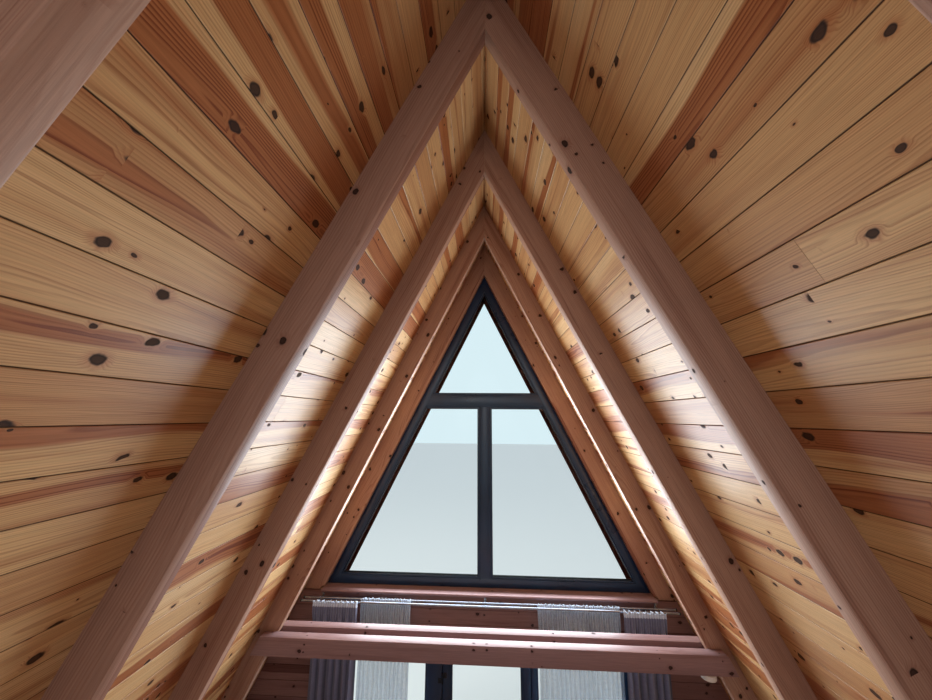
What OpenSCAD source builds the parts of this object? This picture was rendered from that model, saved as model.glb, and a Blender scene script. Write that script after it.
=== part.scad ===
// Gable end of an A-frame cabin: six bays of roof shell with a glazed front.
// X runs across the cabin, Y runs along it towards the glazed gable, Z is up.
// The origin lies on the ground, in the middle of the whole length and width.

/* [Cabin] */
// Inside width at floor level, lining to lining
inner_w = 6100; // [5600:50:7000]
// Slope of the roof above the floor, in degrees
roof_pitch = 64; // [62:0.5:68]
// Spacing of the frames
bay = 900; // [700:10:1100]
// Number of equal bays behind the gable bay
bay_count = 5; // [2:1:7]
// Length of the bay next to the gable, face to face
gable_bay = 765; // [600:5:1100]
// How far the roof runs out past the front cladding
overhang = 700; // [300:10:1000]

/* [Frames] */
// Thickness of a rafter
rafter_t = 70; // [50:1:90]
// Depth of a rafter, square to the slope
rafter_d = 150; // [120:1:200]
// Thickness of a tie beam
tie_t = 80; // [50:1:100]
// Height of a tie beam
tie_h = 130; // [100:1:180]
// Headroom under the tie beams
tie_clear = 2400; // [2250:5:2450]
// Distance of a tie end from the lining, square to the slope
tie_end = 60; // [20:1:100]

/* [Roof] */
// Thickness of the boards that line the roof
lining_t = 19; // [12:1:28]
// Thickness of the insulated roof core
core_t = 100; // [60:5:160]
// Thickness of the metal roof skin
sheet_t = 5; // [3:1:10]
// Distance between the top edges of the two roof skins, under the ridge cap
ridge_gap = 40; // [20:5:80]
// Largest distance between the ribs of a roof skin
rib_pitch = 500; // [300:10:600]
// Width of a roof rib
rib_w = 12; // [8:1:20]
// Height of a roof rib
rib_h = 25; // [10:1:40]
// Height of the lower roof edge above the ground
eaves_z = 60; // [20:5:120]
// Width of a ridge cap wing
cap_w = 250; // [150:5:350]
// Thickness of the ridge cap
cap_t = 5; // [3:1:10]
// Thickness of the barge boards at the front
barge_t = 45; // [30:1:60]
// How deep a barge board hangs below the lining, square to the slope
barge_drop = 200; // [120:5:260]
// Thickness of the boards on the back edge of the roof
end_board_t = 25; // [18:1:40]

/* [Floor] */
// Width of a ground beam
beam_w = 200; // [150:5:260]
// Height of a ground beam
beam_h = 150; // [130:5:250]
// Thickness of a floor joist
joist_t = 70; // [50:1:90]
// Height of a floor joist
joist_h = 180; // [140:5:240]
// Thickness of the floor boards
deck_t = 28; // [20:1:40]

/* [Gable wall] */
// Thickness of the boards on the inside of the gable
board_t = 19; // [12:1:28]
// Thickness of the cladding on the outside of the gable
clad_t = 19; // [12:1:28]
// Thickness of the casing boards beside the upper window
casing_t = 28; // [20:1:40]
// Thickness of the boards that line the window reveals
reveal_t = 22; // [15:1:30]
// Height of the upper window above the floor
window_z = 2520; // [2500:5:2700]
// Thickness of the window sills
sill_t = 26; // [20:1:40]
// How far the inner sill stands proud of the wall boards
sill_out = 55; // [30:1:70]
// How far the outer sill stands proud of the cladding
drip_out = 40; // [20:1:80]
// Distance between a sill end and the rafters
sill_gap = 25; // [10:1:80]

/* [Windows and door] */
// Depth of the window and door frames
frame_d = 70; // [60:1:90]
// Face width of a frame member
frame_w = 82; // [60:1:110]
// Height of the transom of the upper window
transom_h = 140; // [100:1:180]
// Height of the transom's top above the floor
transom_z = 4460; // [4100:5:4700]
// Width of the mullion of the upper window
mullion_w = 120; // [80:1:160]
// Thickness of a glazing unit
pane_t = 24; // [16:1:32]
// Width of the lower glazing
screen_w = 2800; // [2500:10:3200]
// Height of the lower glazing
screen_h = 2100; // [2000:5:2150]
// Width of the door leaf
leaf_w = 850; // [750:5:1000]
// Thickness of the door leaf
leaf_t = 50; // [40:1:50]
// Distance of the leaf's middle from the middle of the cabin
leaf_x = 10; // [-60:5:60]
// Face width of a door stile
stile_w = 75; // [60:1:100]
// Height of the bottom rail of the door
kick_h = 110; // [80:5:200]
// Width of the post on the hinge side
hinge_post_w = 150; // [100:5:180]
// Width of the post on the lock side
lock_post_w = 50; // [40:5:120]
// Height of the door threshold
threshold_h = 25; // [15:1:40]
// Running gap round the door leaf
leaf_gap = 5; // [5:0.5:8]
// Width of the stop that the leaf closes against
stop_w = 15; // [10:1:25]
// Thickness of the stop
stop_t = 15; // [10:1:15]
// Radius of a hinge knuckle
knuckle_r = 8; // [7:0.5:10]
// Height of one hinge knuckle
knuckle_h = 45; // [35:1:60]
// Radius of a hinge pin
pin_r = 4; // [3:0.5:5]
// Height of the door handles above the floor
handle_z = 1050; // [950:10:1150]

/* [Curtains and light] */
// Radius of a curtain rail
rail_r = 9; // [7:0.5:12]
// Distance of the curtain rails below the inner window sill
rail_drop = 42; // [38:1:60]
// Distance of the near rail from the wall boards
rail_near = 140; // [125:1:160]
// Distance of the far rail from the wall boards
rail_far = 80; // [70:1:80]
// Distance of a rail end from the lining
rail_end = 70; // [40:1:120]
// Distance of the curtains from the lining
curtain_end = 212; // [180:1:300]
// Width of the left drape, drawn back
left_drape_w = 435; // [300:5:500]
// Width of the right drape, drawn back
right_drape_w = 390; // [300:5:500]
// Thickness of a drawn-back drape
drape_t = 60; // [40:1:80]
// Width of the left net curtain
left_net_w = 495; // [300:5:600]
// Width of the right net curtain
right_net_w = 765; // [300:5:800]
// Thickness of a net curtain
net_t = 32; // [20:1:32]
// How far a curtain heading stands above its rail
heading_h = 45; // [30:1:48]
// Distance of the curtains from the floor
hem_gap = 20; // [5:1:60]
// Diameter of the spot light
spot_d = 100; // [70:1:140]
// Height of the spot light
spot_h = 35; // [20:1:60]
// Distance of the spot light from the rafter
spot_gap = 46; // [20:1:120]

/* [Hidden] */
$fn = 48;
// Gap where a piece lies or butts against a sloping face
lay_gap = 0.3;
half_angle = 90 - roof_pitch;
floor_z = beam_h + joist_h + deck_t;
ridge_z = floor_z + inner_w / 2 / tan(half_angle);
roof_t = lining_t + core_t + lay_gap + sheet_t;
wall_t = 2 * rafter_t;

// Places along the cabin
inside_len = bay_count * bay + gable_bay;
total_len = end_board_t + inside_len + wall_t + clad_t + overhang + barge_t;
back_y = -total_len / 2;
first_y = back_y + end_board_t;
gable_y = first_y + inside_len;
clad_y = gable_y + wall_t;
barge_y = clad_y + clad_t + overhang;
front_y = barge_y + barge_t;
frame_y = gable_y + wall_t - frame_d;
board_y = gable_y - board_t;

// Upper window and lower glazing
glaze_p = rafter_d + reveal_t;
sill_z = floor_z + window_z;
head_z = floor_z + screen_h;
door_x0 = leaf_x - leaf_w / 2 - leaf_gap;
door_x1 = leaf_x + leaf_w / 2 + leaf_gap;
door_z0 = floor_z + threshold_h;
door_z1 = head_z - frame_w;
hinge_x = door_x0 + leaf_gap / 2;
hinge_clear = 2;
hinge_y = frame_y - knuckle_r - hinge_clear;
hinge_plate = 42;
hinge_plate_t = 4;
hinge_inset = 250;
hinge_gap = 0.3;
pin_root = 1;
pin_up = knuckle_h - knuckle_r;
hinge_zs = [door_z0 + hinge_inset, (door_z0 + door_z1) / 2, door_z1 - hinge_inset - knuckle_h];

// Handles
handle_plate = [32, 8, 220];
neck_r = 11;
lever_r = 8;
lever_len = 120;
lever_out = 50;
handle_x = leaf_x + leaf_w / 2 - stile_w / 2;

// Curtain gear
rail_h = sill_z - sill_t - rail_drop;
near_rail_y = board_y - rail_near;
far_rail_y = board_y - rail_far;
rail_half = slope_x(rail_h, 0) - rail_end;
curtain_half = slope_x(rail_h, 0) - curtain_end;
cap_len = 14;
cap_grow = 3;
bracket_w = 12;
bracket_plate = 60;
bracket_inset = 160;
bracket_t = 5;
seat = 0.3;

// Where the deck and the ground beams stand off the sloping pieces
fit = 2;
// How far a cut runs past the face it opens
cut_over = 1;
far = 10000;

// Half width inside the slope at height z, p square to the lining's inner face
function slope_x(z, p) = (ridge_z - z) * tan(half_angle) - p / cos(half_angle);

// Height of the ridge of a slope that lies p inside the lining's inner face
function apex_z(p) = ridge_z - p / sin(half_angle);

// Place of each open frame along the cabin
function frame_ys() = [for (i = [0:bay_count]) first_y + i * bay];

// Extrudes a cross-section along Y, from y0 over a length
module along(y0, len) {
    translate([0, y0 + len, 0])
        rotate([90, 0, 0])
            linear_extrude(len)
                children();
}

// Right half of a layer that follows the slope, with its mitre at the ridge, or cut off upright at x0
module slope_band(p_out, p_in, z_low, x0 = 0) {
    drop = x0 / tan(half_angle);
    polygon([
        [slope_x(z_low, p_out), z_low],
        [x0, apex_z(p_out) - drop],
        [x0, apex_z(p_in) - drop],
        [slope_x(z_low, p_in), z_low]
    ]);
}

// Strip between two heights that reaches the slope at p on both sides
module cross_strip(z0, z1, p) {
    polygon([
        [-slope_x(z0, p), z0],
        [slope_x(z0, p), z0],
        [slope_x(z1, p), z1],
        [-slope_x(z1, p), z1]
    ]);
}

// Right wall piece between the lower glazing and the slope at p
module side_piece(z0, z1, p) {
    polygon([
        [screen_w / 2, z0],
        [slope_x(z0, p), z0],
        [slope_x(z1, p), z1],
        [screen_w / 2, z1]
    ]);
}

// Triangle under the slope at p, cut off at height z
module gable_triangle(p, z) {
    polygon([
        [-slope_x(z, p), z],
        [slope_x(z, p), z],
        [0, apex_z(p)]
    ]);
}

// A box from its low and high corners
module block(lo, hi) {
    translate(lo)
        cube(hi - lo);
}

module both_sides() {
    children();
    mirror([1, 0, 0])
        children();
}

// Base and floor

module ground_beams() {
    outer_x = slope_x(beam_h, 0) - fit;
    color("#6b5a48") {
        both_sides()
            block([outer_x - beam_w, first_y, 0], [outer_x, clad_y, beam_h]);
        block([-beam_w / 2, first_y, 0], [beam_w / 2, clad_y, beam_h]);
    }
}

module floor_joists() {
    ys = concat([for (y = frame_ys()) y + rafter_t], [gable_y - joist_t]);
    color("#a5733f")
        for (y = ys)
            along(y, joist_t)
                cross_strip(beam_h, beam_h + joist_h, lay_gap);
}

// Floor boards with square ends that meet the lining at their top edge
module floor_deck() {
    half = slope_x(floor_z, lay_gap);
    color("#b98549")
        difference() {
            block([-half, first_y, floor_z - deck_t], [half, gable_y, floor_z]);
            for (y = frame_ys())
                both_sides()
                    along(y - fit, rafter_t + 2 * fit)
                        slope_band(-fit, rafter_d + fit, beam_h);
        }
}

module front_sill() {
    color("#8a5a38")
        along(gable_y, wall_t)
            cross_strip(beam_h, floor_z, rafter_d);
}

// Frames

// Rafters of the right side, with the gable's own pair of rafters
module rafter_row() {
    for (y = frame_ys())
        along(y, rafter_t)
            slope_band(lay_gap, rafter_d, beam_h);
    along(gable_y, wall_t)
        slope_band(lay_gap, rafter_d, beam_h);
}

module right_rafters() {
    color("#8f5f4a")
        rafter_row();
}

module left_rafters() {
    color("#8f5f4a")
        mirror([1, 0, 0])
            rafter_row();
}

// A tie beam at each of the given places along the cabin
module tie_row(ys) {
    z0 = floor_z + tie_clear;
    for (y = ys)
        along(y, tie_t)
            cross_strip(z0, z0 + tie_h, tie_end);
}

// The frame at the open end has a tie on its inner face only
module near_ties() {
    color("#9a6a55")
        tie_row([for (y = frame_ys()) if (y > first_y) y - tie_t]);
}

module far_ties() {
    color("#9a6a55")
        tie_row([for (y = frame_ys()) y + rafter_t]);
}

// Roof

// One layer of the right roof slope between two depths, cut off upright at x0
module roof_layer(p_out, p_in, y0, y1, x0 = 0) {
    along(y0, y1 - y0)
        slope_band(p_out, p_in, eaves_z, x0);
}

// Metal skin of the right slope, with ribs that lie on it and run down the slope
module roof_sheet() {
    rib_count = ceil(total_len / rib_pitch);
    rib_step = (total_len - rib_w) / rib_count;
    roof_layer(-roof_t, -roof_t + sheet_t, back_y, front_y, ridge_gap / 2);
    for (i = [0:rib_count]) {
        y = back_y + i * rib_step;
        roof_layer(-roof_t - rib_h, -roof_t - lay_gap, y, y + rib_w, ridge_gap / 2);
    }
}

module right_lining() {
    color("#d9a566")
        roof_layer(-lining_t, 0, first_y, barge_y);
}

module left_lining() {
    color("#d9a566")
        mirror([1, 0, 0])
            roof_layer(-lining_t, 0, first_y, barge_y);
}

module right_roof_core() {
    color("#d8cfa8")
        roof_layer(-lining_t - core_t, -lining_t, first_y, barge_y);
}

module left_roof_core() {
    color("#d8cfa8")
        mirror([1, 0, 0])
            roof_layer(-lining_t - core_t, -lining_t, first_y, barge_y);
}

module right_roof_sheet() {
    color("#4b4b4f")
        roof_sheet();
}

module left_roof_sheet() {
    color("#4b4b4f")
        mirror([1, 0, 0])
            roof_sheet();
}

// One sheet folded over the ribs of both roof skins at the ridge
module ridge_cap() {
    p_in = -roof_t - rib_h - lay_gap;
    p_out = p_in - cap_t;
    z_low = apex_z(p_in) - cap_w * cos(half_angle);
    color("#3c3c40")
        along(back_y, total_len)
            polygon([
                [slope_x(z_low, p_out), z_low],
                [0, apex_z(p_out)],
                [-slope_x(z_low, p_out), z_low],
                [-slope_x(z_low, p_in), z_low],
                [0, apex_z(p_in)],
                [slope_x(z_low, p_in), z_low]
            ]);
}

module right_barge_board() {
    color("#8c3226")
        roof_layer(-lining_t - core_t, barge_drop, barge_y, front_y);
}

module left_barge_board() {
    color("#8c3226")
        mirror([1, 0, 0])
            roof_layer(-lining_t - core_t, barge_drop, barge_y, front_y);
}

module right_end_board() {
    color("#8c3226")
        roof_layer(-lining_t - core_t, 0, back_y, first_y);
}

module left_end_board() {
    color("#8c3226")
        mirror([1, 0, 0])
            roof_layer(-lining_t - core_t, 0, back_y, first_y);
}

// Gable wall

module side_gable_walls() {
    color("#c9a878")
        both_sides()
            along(gable_y, wall_t)
                side_piece(floor_z, head_z, rafter_d);
}

module gable_header() {
    color("#c9a878")
        along(gable_y, wall_t)
            cross_strip(head_z, sill_z - sill_t, rafter_d);
}

module side_inner_boards() {
    color("#8f5f4a")
        both_sides()
            along(board_y, board_t)
                side_piece(floor_z, head_z, lay_gap);
}

module upper_inner_boards() {
    color("#8f5f4a")
        along(board_y, board_t)
            cross_strip(head_z, sill_z - sill_t, lay_gap);
}

module side_cladding() {
    color("#9b4a36")
        both_sides()
            along(clad_y, clad_t)
                side_piece(floor_z, head_z, lay_gap);
}

module cladding_bands() {
    color("#9b4a36")
        along(clad_y, clad_t) {
            cross_strip(head_z, sill_z - sill_t, lay_gap);
            cross_strip(beam_h, floor_z, lay_gap);
        }
}

// Boards over the gable rafters, outside, beside the upper window
module right_window_casing() {
    color("#8c3226")
        along(clad_y, casing_t)
            slope_band(lay_gap, glaze_p, sill_z);
}

module left_window_casing() {
    color("#8c3226")
        mirror([1, 0, 0])
            along(clad_y, casing_t)
                slope_band(lay_gap, glaze_p, sill_z);
}

module right_reveal_board() {
    color("#a5705c")
        along(gable_y, wall_t)
            slope_band(rafter_d, glaze_p, sill_z);
}

module left_reveal_board() {
    color("#a5705c")
        mirror([1, 0, 0])
            along(gable_y, wall_t)
                slope_band(rafter_d, glaze_p, sill_z);
}

module window_sills() {
    half = slope_x(sill_z, rafter_d) - sill_gap;
    color("#b98a72") {
        block([-half, board_y - sill_out, sill_z - sill_t], [half, frame_y, sill_z]);
        block([-half, frame_y + frame_d / 2, sill_z - sill_t],
              [half, clad_y + clad_t + drip_out, sill_z]);
    }
}

// Upper window

// Openings of the three panes, each edge moved out by grow
module pane_holes(grow) {
    p = glaze_p + frame_w - grow;
    top = floor_z + transom_z;
    gable_triangle(p, top - grow);
    difference() {
        cross_strip(sill_z + frame_w - grow, top - transom_h + grow, p);
        translate([-mullion_w / 2 + grow, 0])
            square([mullion_w - 2 * grow, far]);
    }
}

module window_frame() {
    color("#1c2a3c")
        along(frame_y, frame_d)
            difference() {
                gable_triangle(glaze_p, sill_z);
                pane_holes(0);
            }
}

module window_glass() {
    color("#bfe6ee", 0.4)
        along(frame_y + (frame_d - pane_t) / 2, pane_t)
            pane_holes(0);
}

// Lower glazing and door

// Opening of one side pane, between two places across the cabin
module side_hole(x0, x1) {
    translate([x0, floor_z + frame_w])
        square([x1 - x0, screen_h - 2 * frame_w]);
}

module side_holes() {
    side_hole(-screen_w / 2 + frame_w, door_x0 - hinge_post_w);
    side_hole(door_x1 + lock_post_w, screen_w / 2 - frame_w);
}

module screen_frame() {
    color("#1c2a3c")
        difference() {
            along(frame_y, frame_d)
                difference() {
                    translate([-screen_w / 2, floor_z])
                        square([screen_w, screen_h]);
                    side_holes();
                    translate([door_x0 + stop_w, door_z0])
                        square([door_x1 - door_x0 - 2 * stop_w, door_z1 - stop_w - door_z0]);
                }
            block([door_x0, frame_y - cut_over, door_z0],
                  [door_x1, frame_y + frame_d - stop_t, door_z1]);
        }
}

module side_glass() {
    color("#bfe6ee", 0.4)
        along(frame_y + (frame_d - pane_t) / 2, pane_t)
            side_holes();
}

// Half of a hinge: a plate on one face and its knuckle round the axis
module hinge_half(z, side) {
    plate_x = side > 0 ? hinge_x : hinge_x - hinge_plate;
    translate([plate_x, frame_y - hinge_plate_t, z])
        cube([hinge_plate, hinge_plate_t, knuckle_h]);
    translate([hinge_x, hinge_y, z])
        cylinder(r = knuckle_r, h = knuckle_h);
}

module frame_hinges() {
    color("#2a2f38")
        for (z = hinge_zs) {
            hinge_half(z - knuckle_h - hinge_gap, -1);
            translate([hinge_x, hinge_y, z - hinge_gap - pin_root])
                cylinder(r = pin_r, h = pin_root + hinge_gap + pin_up);
        }
}

module door_leaf() {
    x0 = leaf_x - leaf_w / 2;
    x1 = leaf_x + leaf_w / 2;
    z0 = door_z0 + leaf_gap;
    z1 = door_z1 - leaf_gap;
    color("#22324a") {
        along(frame_y, leaf_t)
            difference() {
                translate([x0, z0])
                    square([leaf_w, z1 - z0]);
                leaf_hole();
            }
        for (z = hinge_zs)
            difference() {
                hinge_half(z, 1);
                translate([hinge_x, hinge_y, z - cut_over])
                    cylinder(r = pin_r + hinge_gap, h = cut_over + pin_up + hinge_gap);
            }
    }
}

// Opening of the pane in the door leaf
module leaf_hole() {
    z0 = door_z0 + leaf_gap + kick_h;
    translate([leaf_x - leaf_w / 2 + stile_w, z0])
        square([leaf_w - 2 * stile_w, door_z1 - leaf_gap - stile_w - z0]);
}

module door_glass() {
    color("#bfe6ee", 0.4)
        along(frame_y + (leaf_t - pane_t) / 2, pane_t)
            leaf_hole();
}

// A handle that stands out from a face in the direction of side
module lever_handle(face_y, side) {
    z = floor_z + handle_z;
    plate_y = side > 0 ? face_y : face_y - handle_plate[1];
    neck_y = side > 0 ? face_y : face_y - lever_out;
    translate([handle_x - handle_plate[0] / 2, plate_y, z - handle_plate[2] / 2])
        cube(handle_plate);
    translate([handle_x, neck_y + lever_out, z])
        rotate([90, 0, 0])
            cylinder(r = neck_r, h = lever_out);
    translate([handle_x - lever_len, face_y + side * (lever_out - neck_r), z])
        rotate([0, 90, 0])
            cylinder(r = lever_r, h = lever_len);
}

module door_handles() {
    color("#c9ccd0") {
        lever_handle(frame_y, -1);
        lever_handle(frame_y + leaf_t, 1);
    }
}

// Curtain gear and curtains

// A rail with a thicker cap on each end
module rail(y) {
    translate([-rail_half, y, rail_h])
        rotate([0, 90, 0])
            cylinder(r = rail_r, h = 2 * rail_half);
    both_sides()
        translate([rail_half - cap_len, y, rail_h])
            rotate([0, 90, 0])
                cylinder(r = rail_r + cap_grow, h = cap_len);
}

// A bracket that carries both rails from the wall boards, on an arm just under them
module rail_bracket(x) {
    arm_z = rail_h - rail_r - seat;
    block([x - bracket_w, board_y - bracket_t, arm_z - bracket_plate / 2],
          [x + bracket_w, board_y, arm_z + bracket_plate / 2]);
    block([x - bracket_w / 2, near_rail_y - rail_r, arm_z - bracket_t],
          [x + bracket_w / 2, board_y, arm_z]);
}

module curtain_rails() {
    color("#aeb4ba") {
        rail(near_rail_y);
        rail(far_rail_y);
        for (x = [-rail_half + bracket_inset, 0, rail_half - bracket_inset])
            rail_bracket(x);
    }
}

// A closed solid for a curtain that hangs just in front of its rail
module curtain(x0, x1, rail_y, thick) {
    y1 = rail_y - rail_r - seat;
    block([x0, y1 - thick, floor_z + hem_gap], [x1, y1, rail_h + heading_h]);
}

module left_drape() {
    color("#6d6670")
        curtain(-curtain_half, -curtain_half + left_drape_w, near_rail_y, drape_t);
}

module left_net_curtain() {
    x0 = -curtain_half + left_drape_w;
    color("#dfe3ee")
        curtain(x0, x0 + left_net_w, far_rail_y, net_t);
}

module right_net_curtain() {
    x1 = curtain_half - right_drape_w;
    color("#dfe3ee")
        curtain(x1 - right_net_w, x1, far_rail_y, net_t);
}

module right_drape() {
    color("#6d6670")
        curtain(curtain_half - right_drape_w, curtain_half, near_rail_y, drape_t);
}

// The light under the near tie of the last open frame
module spot_light() {
    z = floor_z + tie_clear;
    x = slope_x(z, rafter_d) - spot_gap - spot_d / 2;
    color("#e8e8e6")
        translate([x, first_y + bay_count * bay - tie_t / 2, z - spot_h])
            cylinder(d = spot_d, h = spot_h);
}

ground_beams();
floor_joists();
floor_deck();
front_sill();
left_rafters();
right_rafters();
near_ties();
far_ties();
left_lining();
right_lining();
left_roof_core();
right_roof_core();
left_roof_sheet();
right_roof_sheet();
ridge_cap();
left_barge_board();
right_barge_board();
left_end_board();
right_end_board();
side_gable_walls();
gable_header();
side_inner_boards();
upper_inner_boards();
side_cladding();
cladding_bands();
left_window_casing();
right_window_casing();
left_reveal_board();
right_reveal_board();
window_sills();
window_frame();
window_glass();
screen_frame();
side_glass();
frame_hinges();
door_leaf();
door_glass();
door_handles();
curtain_rails();
left_drape();
left_net_curtain();
right_net_curtain();
right_drape();
spot_light();
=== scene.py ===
import math
import random

import bmesh
import bpy
import numpy as np
from mathutils import Matrix, Vector


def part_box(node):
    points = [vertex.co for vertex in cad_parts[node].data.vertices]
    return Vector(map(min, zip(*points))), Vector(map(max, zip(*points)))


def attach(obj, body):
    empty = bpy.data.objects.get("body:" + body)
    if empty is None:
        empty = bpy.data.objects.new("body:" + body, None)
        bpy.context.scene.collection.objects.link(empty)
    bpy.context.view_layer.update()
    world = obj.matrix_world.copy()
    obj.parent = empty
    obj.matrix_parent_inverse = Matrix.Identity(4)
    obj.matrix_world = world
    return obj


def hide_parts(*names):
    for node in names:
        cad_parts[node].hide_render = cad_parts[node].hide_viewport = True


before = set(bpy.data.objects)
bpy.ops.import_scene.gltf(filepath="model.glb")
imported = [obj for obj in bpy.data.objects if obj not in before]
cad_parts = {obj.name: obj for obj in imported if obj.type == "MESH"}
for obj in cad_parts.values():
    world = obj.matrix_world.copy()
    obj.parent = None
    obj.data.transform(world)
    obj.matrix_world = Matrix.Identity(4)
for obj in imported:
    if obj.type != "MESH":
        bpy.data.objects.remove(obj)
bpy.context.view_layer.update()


# Places and sizes, in metres, from the frame and the few values that it doesn't hold

def low(node):
    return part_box(node)[0]


def high(node):
    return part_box(node)[1]


HALF_ANGLE = math.radians(26)
SIN_A, COS_A, TAN_A = math.sin(HALF_ANGLE), math.cos(HALF_ANGLE), math.tan(HALF_ANGLE)
LINING_T = 0.019
CORE_T = 0.100
SHEET_T = 0.005
RAFTER_T = 0.070
RAFTER_D = 0.150
REVEAL_T = 0.022
BARGE_DROP = 0.200
BAY = 0.900
OPEN_FRAMES = 6
TIE_T = 0.080
TIE_END = 0.060
LAY_GAP = 0.0003
SLOPE_PARTS = 14

eaves_z = low("right_lining").z
ridge_z = high("right_lining").z - LINING_T / SIN_A
back_y, front_y = low("right_roof_sheet").y, high("right_roof_sheet").y
first_y, barge_y = low("right_lining").y, high("right_lining").y
base_z = low("right_rafters").z
floor_z, deck_low = high("floor_deck").z, low("floor_deck").z
gable_y, clad_y = low("gable_header").y, high("gable_header").y
clad_front = high("cladding_bands").y
board_y = low("upper_inner_boards").y
frame_y, frame_out = low("window_frame").y, high("window_frame").y
sill_z = low("window_frame").z
head_z = high("screen_frame").z
header_top = high("gable_header").z
tie_low, tie_top = low("near_ties").z, high("near_ties").z
screen_half = high("screen_frame").x
frame_ys = [first_y + i * BAY for i in range(OPEN_FRAMES)]
GLAZE_P = RAFTER_D + REVEAL_T
UP = Vector((0, 0, 1))
INTO = Vector((0, 1, 0))
RIGHT = Vector((1, 0, 0))
SIDES = {"right": 1, "left": -1}


def slope_x(z, p=0.0):
    """Half width inside the roof slope at height z, p metres in from the lining's face."""
    return (ridge_z - z) * TAN_A - p / COS_A


def apex_z(p):
    """Height of the ridge of a slope that lies p metres in from the lining's face."""
    return ridge_z - p / SIN_A


def down_slope(side):
    return Vector((side * SIN_A, 0, -COS_A))


def out_of_slope(side):
    return Vector((side * COS_A, 0, SIN_A))


def slope_point(side, down, p, y):
    """A point down from the ridge line along a slope, p metres in from the lining's face."""
    ridge = Vector((0, y, ridge_z))
    return ridge + down_slope(side) * down - out_of_slope(side) * p


def slope_down(z, p=0.0):
    """How far down from the ridge the slope at p reaches height z."""
    return (ridge_z - z - p * SIN_A) / COS_A


# Modelling, as by hand

def select_only(*pieces):
    bpy.ops.object.select_all(action="DESELECT")
    for piece in pieces:
        piece.select_set(True)
    bpy.context.view_layer.objects.active = pieces[0]


def named(piece, name):
    piece.name = piece.data.name = name
    return piece


def choose(piece, kind, wanted):
    """In edit mode, selects the edges or faces for which wanted(middle, way) holds.
    An edge's way is its direction and a face's way is its normal."""
    bpy.ops.mesh.select_all(action="DESELECT")
    bpy.ops.mesh.select_mode(type="FACE" if kind == "faces" else "EDGE")
    shape = bmesh.from_edit_mesh(piece.data)
    if kind == "faces":
        for face in shape.faces:
            face.select_set(wanted(face.calc_center_median(), face.normal))
    else:
        for edge in shape.edges:
            a, b = (v.co for v in edge.verts)
            edge.select_set(wanted((a + b) / 2, (b - a).normalized()))
    bmesh.update_edit_mesh(piece.data)


def block(name, lo, hi):
    """A box between two corners, left in edit mode for its shaping."""
    lo, hi = Vector(lo), Vector(hi)
    bpy.ops.object.select_all(action="DESELECT")
    bpy.ops.mesh.primitive_cube_add(size=1, location=(lo + hi) / 2, scale=hi - lo)
    bpy.ops.object.transform_apply(location=True, rotation=True, scale=True)
    piece = named(bpy.context.object, name)
    bpy.ops.object.mode_set(mode="EDIT")
    return piece


def ease(piece, width, wanted, steps=1):
    """Rounds or chamfers the chosen edges, in edit mode."""
    choose(piece, "edges", wanted)
    bpy.ops.mesh.bevel(offset=width, segments=steps, affect="EDGES")


def done(piece, smooth=35):
    bpy.ops.object.mode_set(mode="OBJECT")
    select_only(piece)
    bpy.ops.object.shade_smooth_by_angle(angle=math.radians(smooth))
    return piece


def divide(piece, parts):
    """Divides a piece a metre long along Y into short faces, because long slanting ones render slowly."""
    for i in range(1, parts):
        bpy.ops.mesh.select_all(action="SELECT")
        bpy.ops.mesh.bisect(plane_co=(0, i / parts - 0.5, 0), plane_no=(0, 1, 0))


def plank(width, thick, eased, all_round=False, steps=1, parts=1):
    """A board a metre long along Y with its face at z 0, the long edges of its face eased."""
    piece = block("plank", (-width / 2, -0.5, 0), (width / 2, 0.5, thick))
    ease(piece, eased, lambda mid, way: abs(way.y) > 0.9 and (all_round or mid.z < thick / 2), steps)
    divide(piece, parts)
    return done(piece)


def rod(start, way, length, radius, rim, sides=24, steps=2):
    """A round bar or disc with rounded rims."""
    way = Vector(way)
    bpy.ops.object.select_all(action="DESELECT")
    bpy.ops.mesh.primitive_cylinder_add(
        vertices=sides, radius=radius, depth=length, location=Vector(start) + way * length / 2,
        rotation=way.to_track_quat("Z", "Y").to_euler())
    bpy.ops.object.transform_apply(location=True, rotation=True, scale=True)
    piece = named(bpy.context.object, "rod")
    bpy.ops.object.mode_set(mode="EDIT")
    ease(piece, rim, lambda mid, edge: abs(edge.dot(way)) < 0.5, steps)
    return done(piece)


def rounded_plate(lo, hi, corner, rim):
    """A thin upright plate that faces along Y, with round corners and soft edges."""
    piece = block("plate", lo, hi)
    ease(piece, corner, lambda mid, way: abs(way.y) > 0.9, 5)
    ease(piece, rim, lambda mid, way: abs(way.y) < 0.5, 2)
    return done(piece)


def placed(origin, along, depth):
    """Axes for a board: its width across, its length along, its thickness in depth."""
    across = along.cross(depth)
    axes = Matrix((across, along, depth)).transposed()
    return Matrix.Translation(origin) @ axes.to_4x4()


def lay(pattern, length, where, batch):
    """A copy of a modelled board, stretched to a length, stamped for its grain and put in its place.
    The stamp is each point's place along, across and deep in the board, and three random numbers."""
    piece = pattern.copy()
    piece.data = pattern.data.copy()
    bpy.context.scene.collection.objects.link(piece)
    mesh = piece.data
    count = len(mesh.vertices)
    places = np.zeros(count * 3, np.float32)
    mesh.vertices.foreach_get("co", places)
    places = places.reshape(-1, 3)
    places[:, 1] *= length
    mesh.vertices.foreach_set("co", places.ravel())
    grain = mesh.attributes.new("grain", "FLOAT_VECTOR", "POINT")
    grain.data.foreach_set("vector", places[:, [1, 0, 2]].ravel())
    lot = mesh.attributes.new("lot", "FLOAT_VECTOR", "POINT")
    numbers = np.array([batch.random() for _ in range(3)], np.float32)
    lot.data.foreach_set("vector", np.tile(numbers, count))
    mesh.transform(where)
    return piece


def throw_away(*patterns):
    for pattern in patterns:
        bpy.data.objects.remove(pattern)


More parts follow.
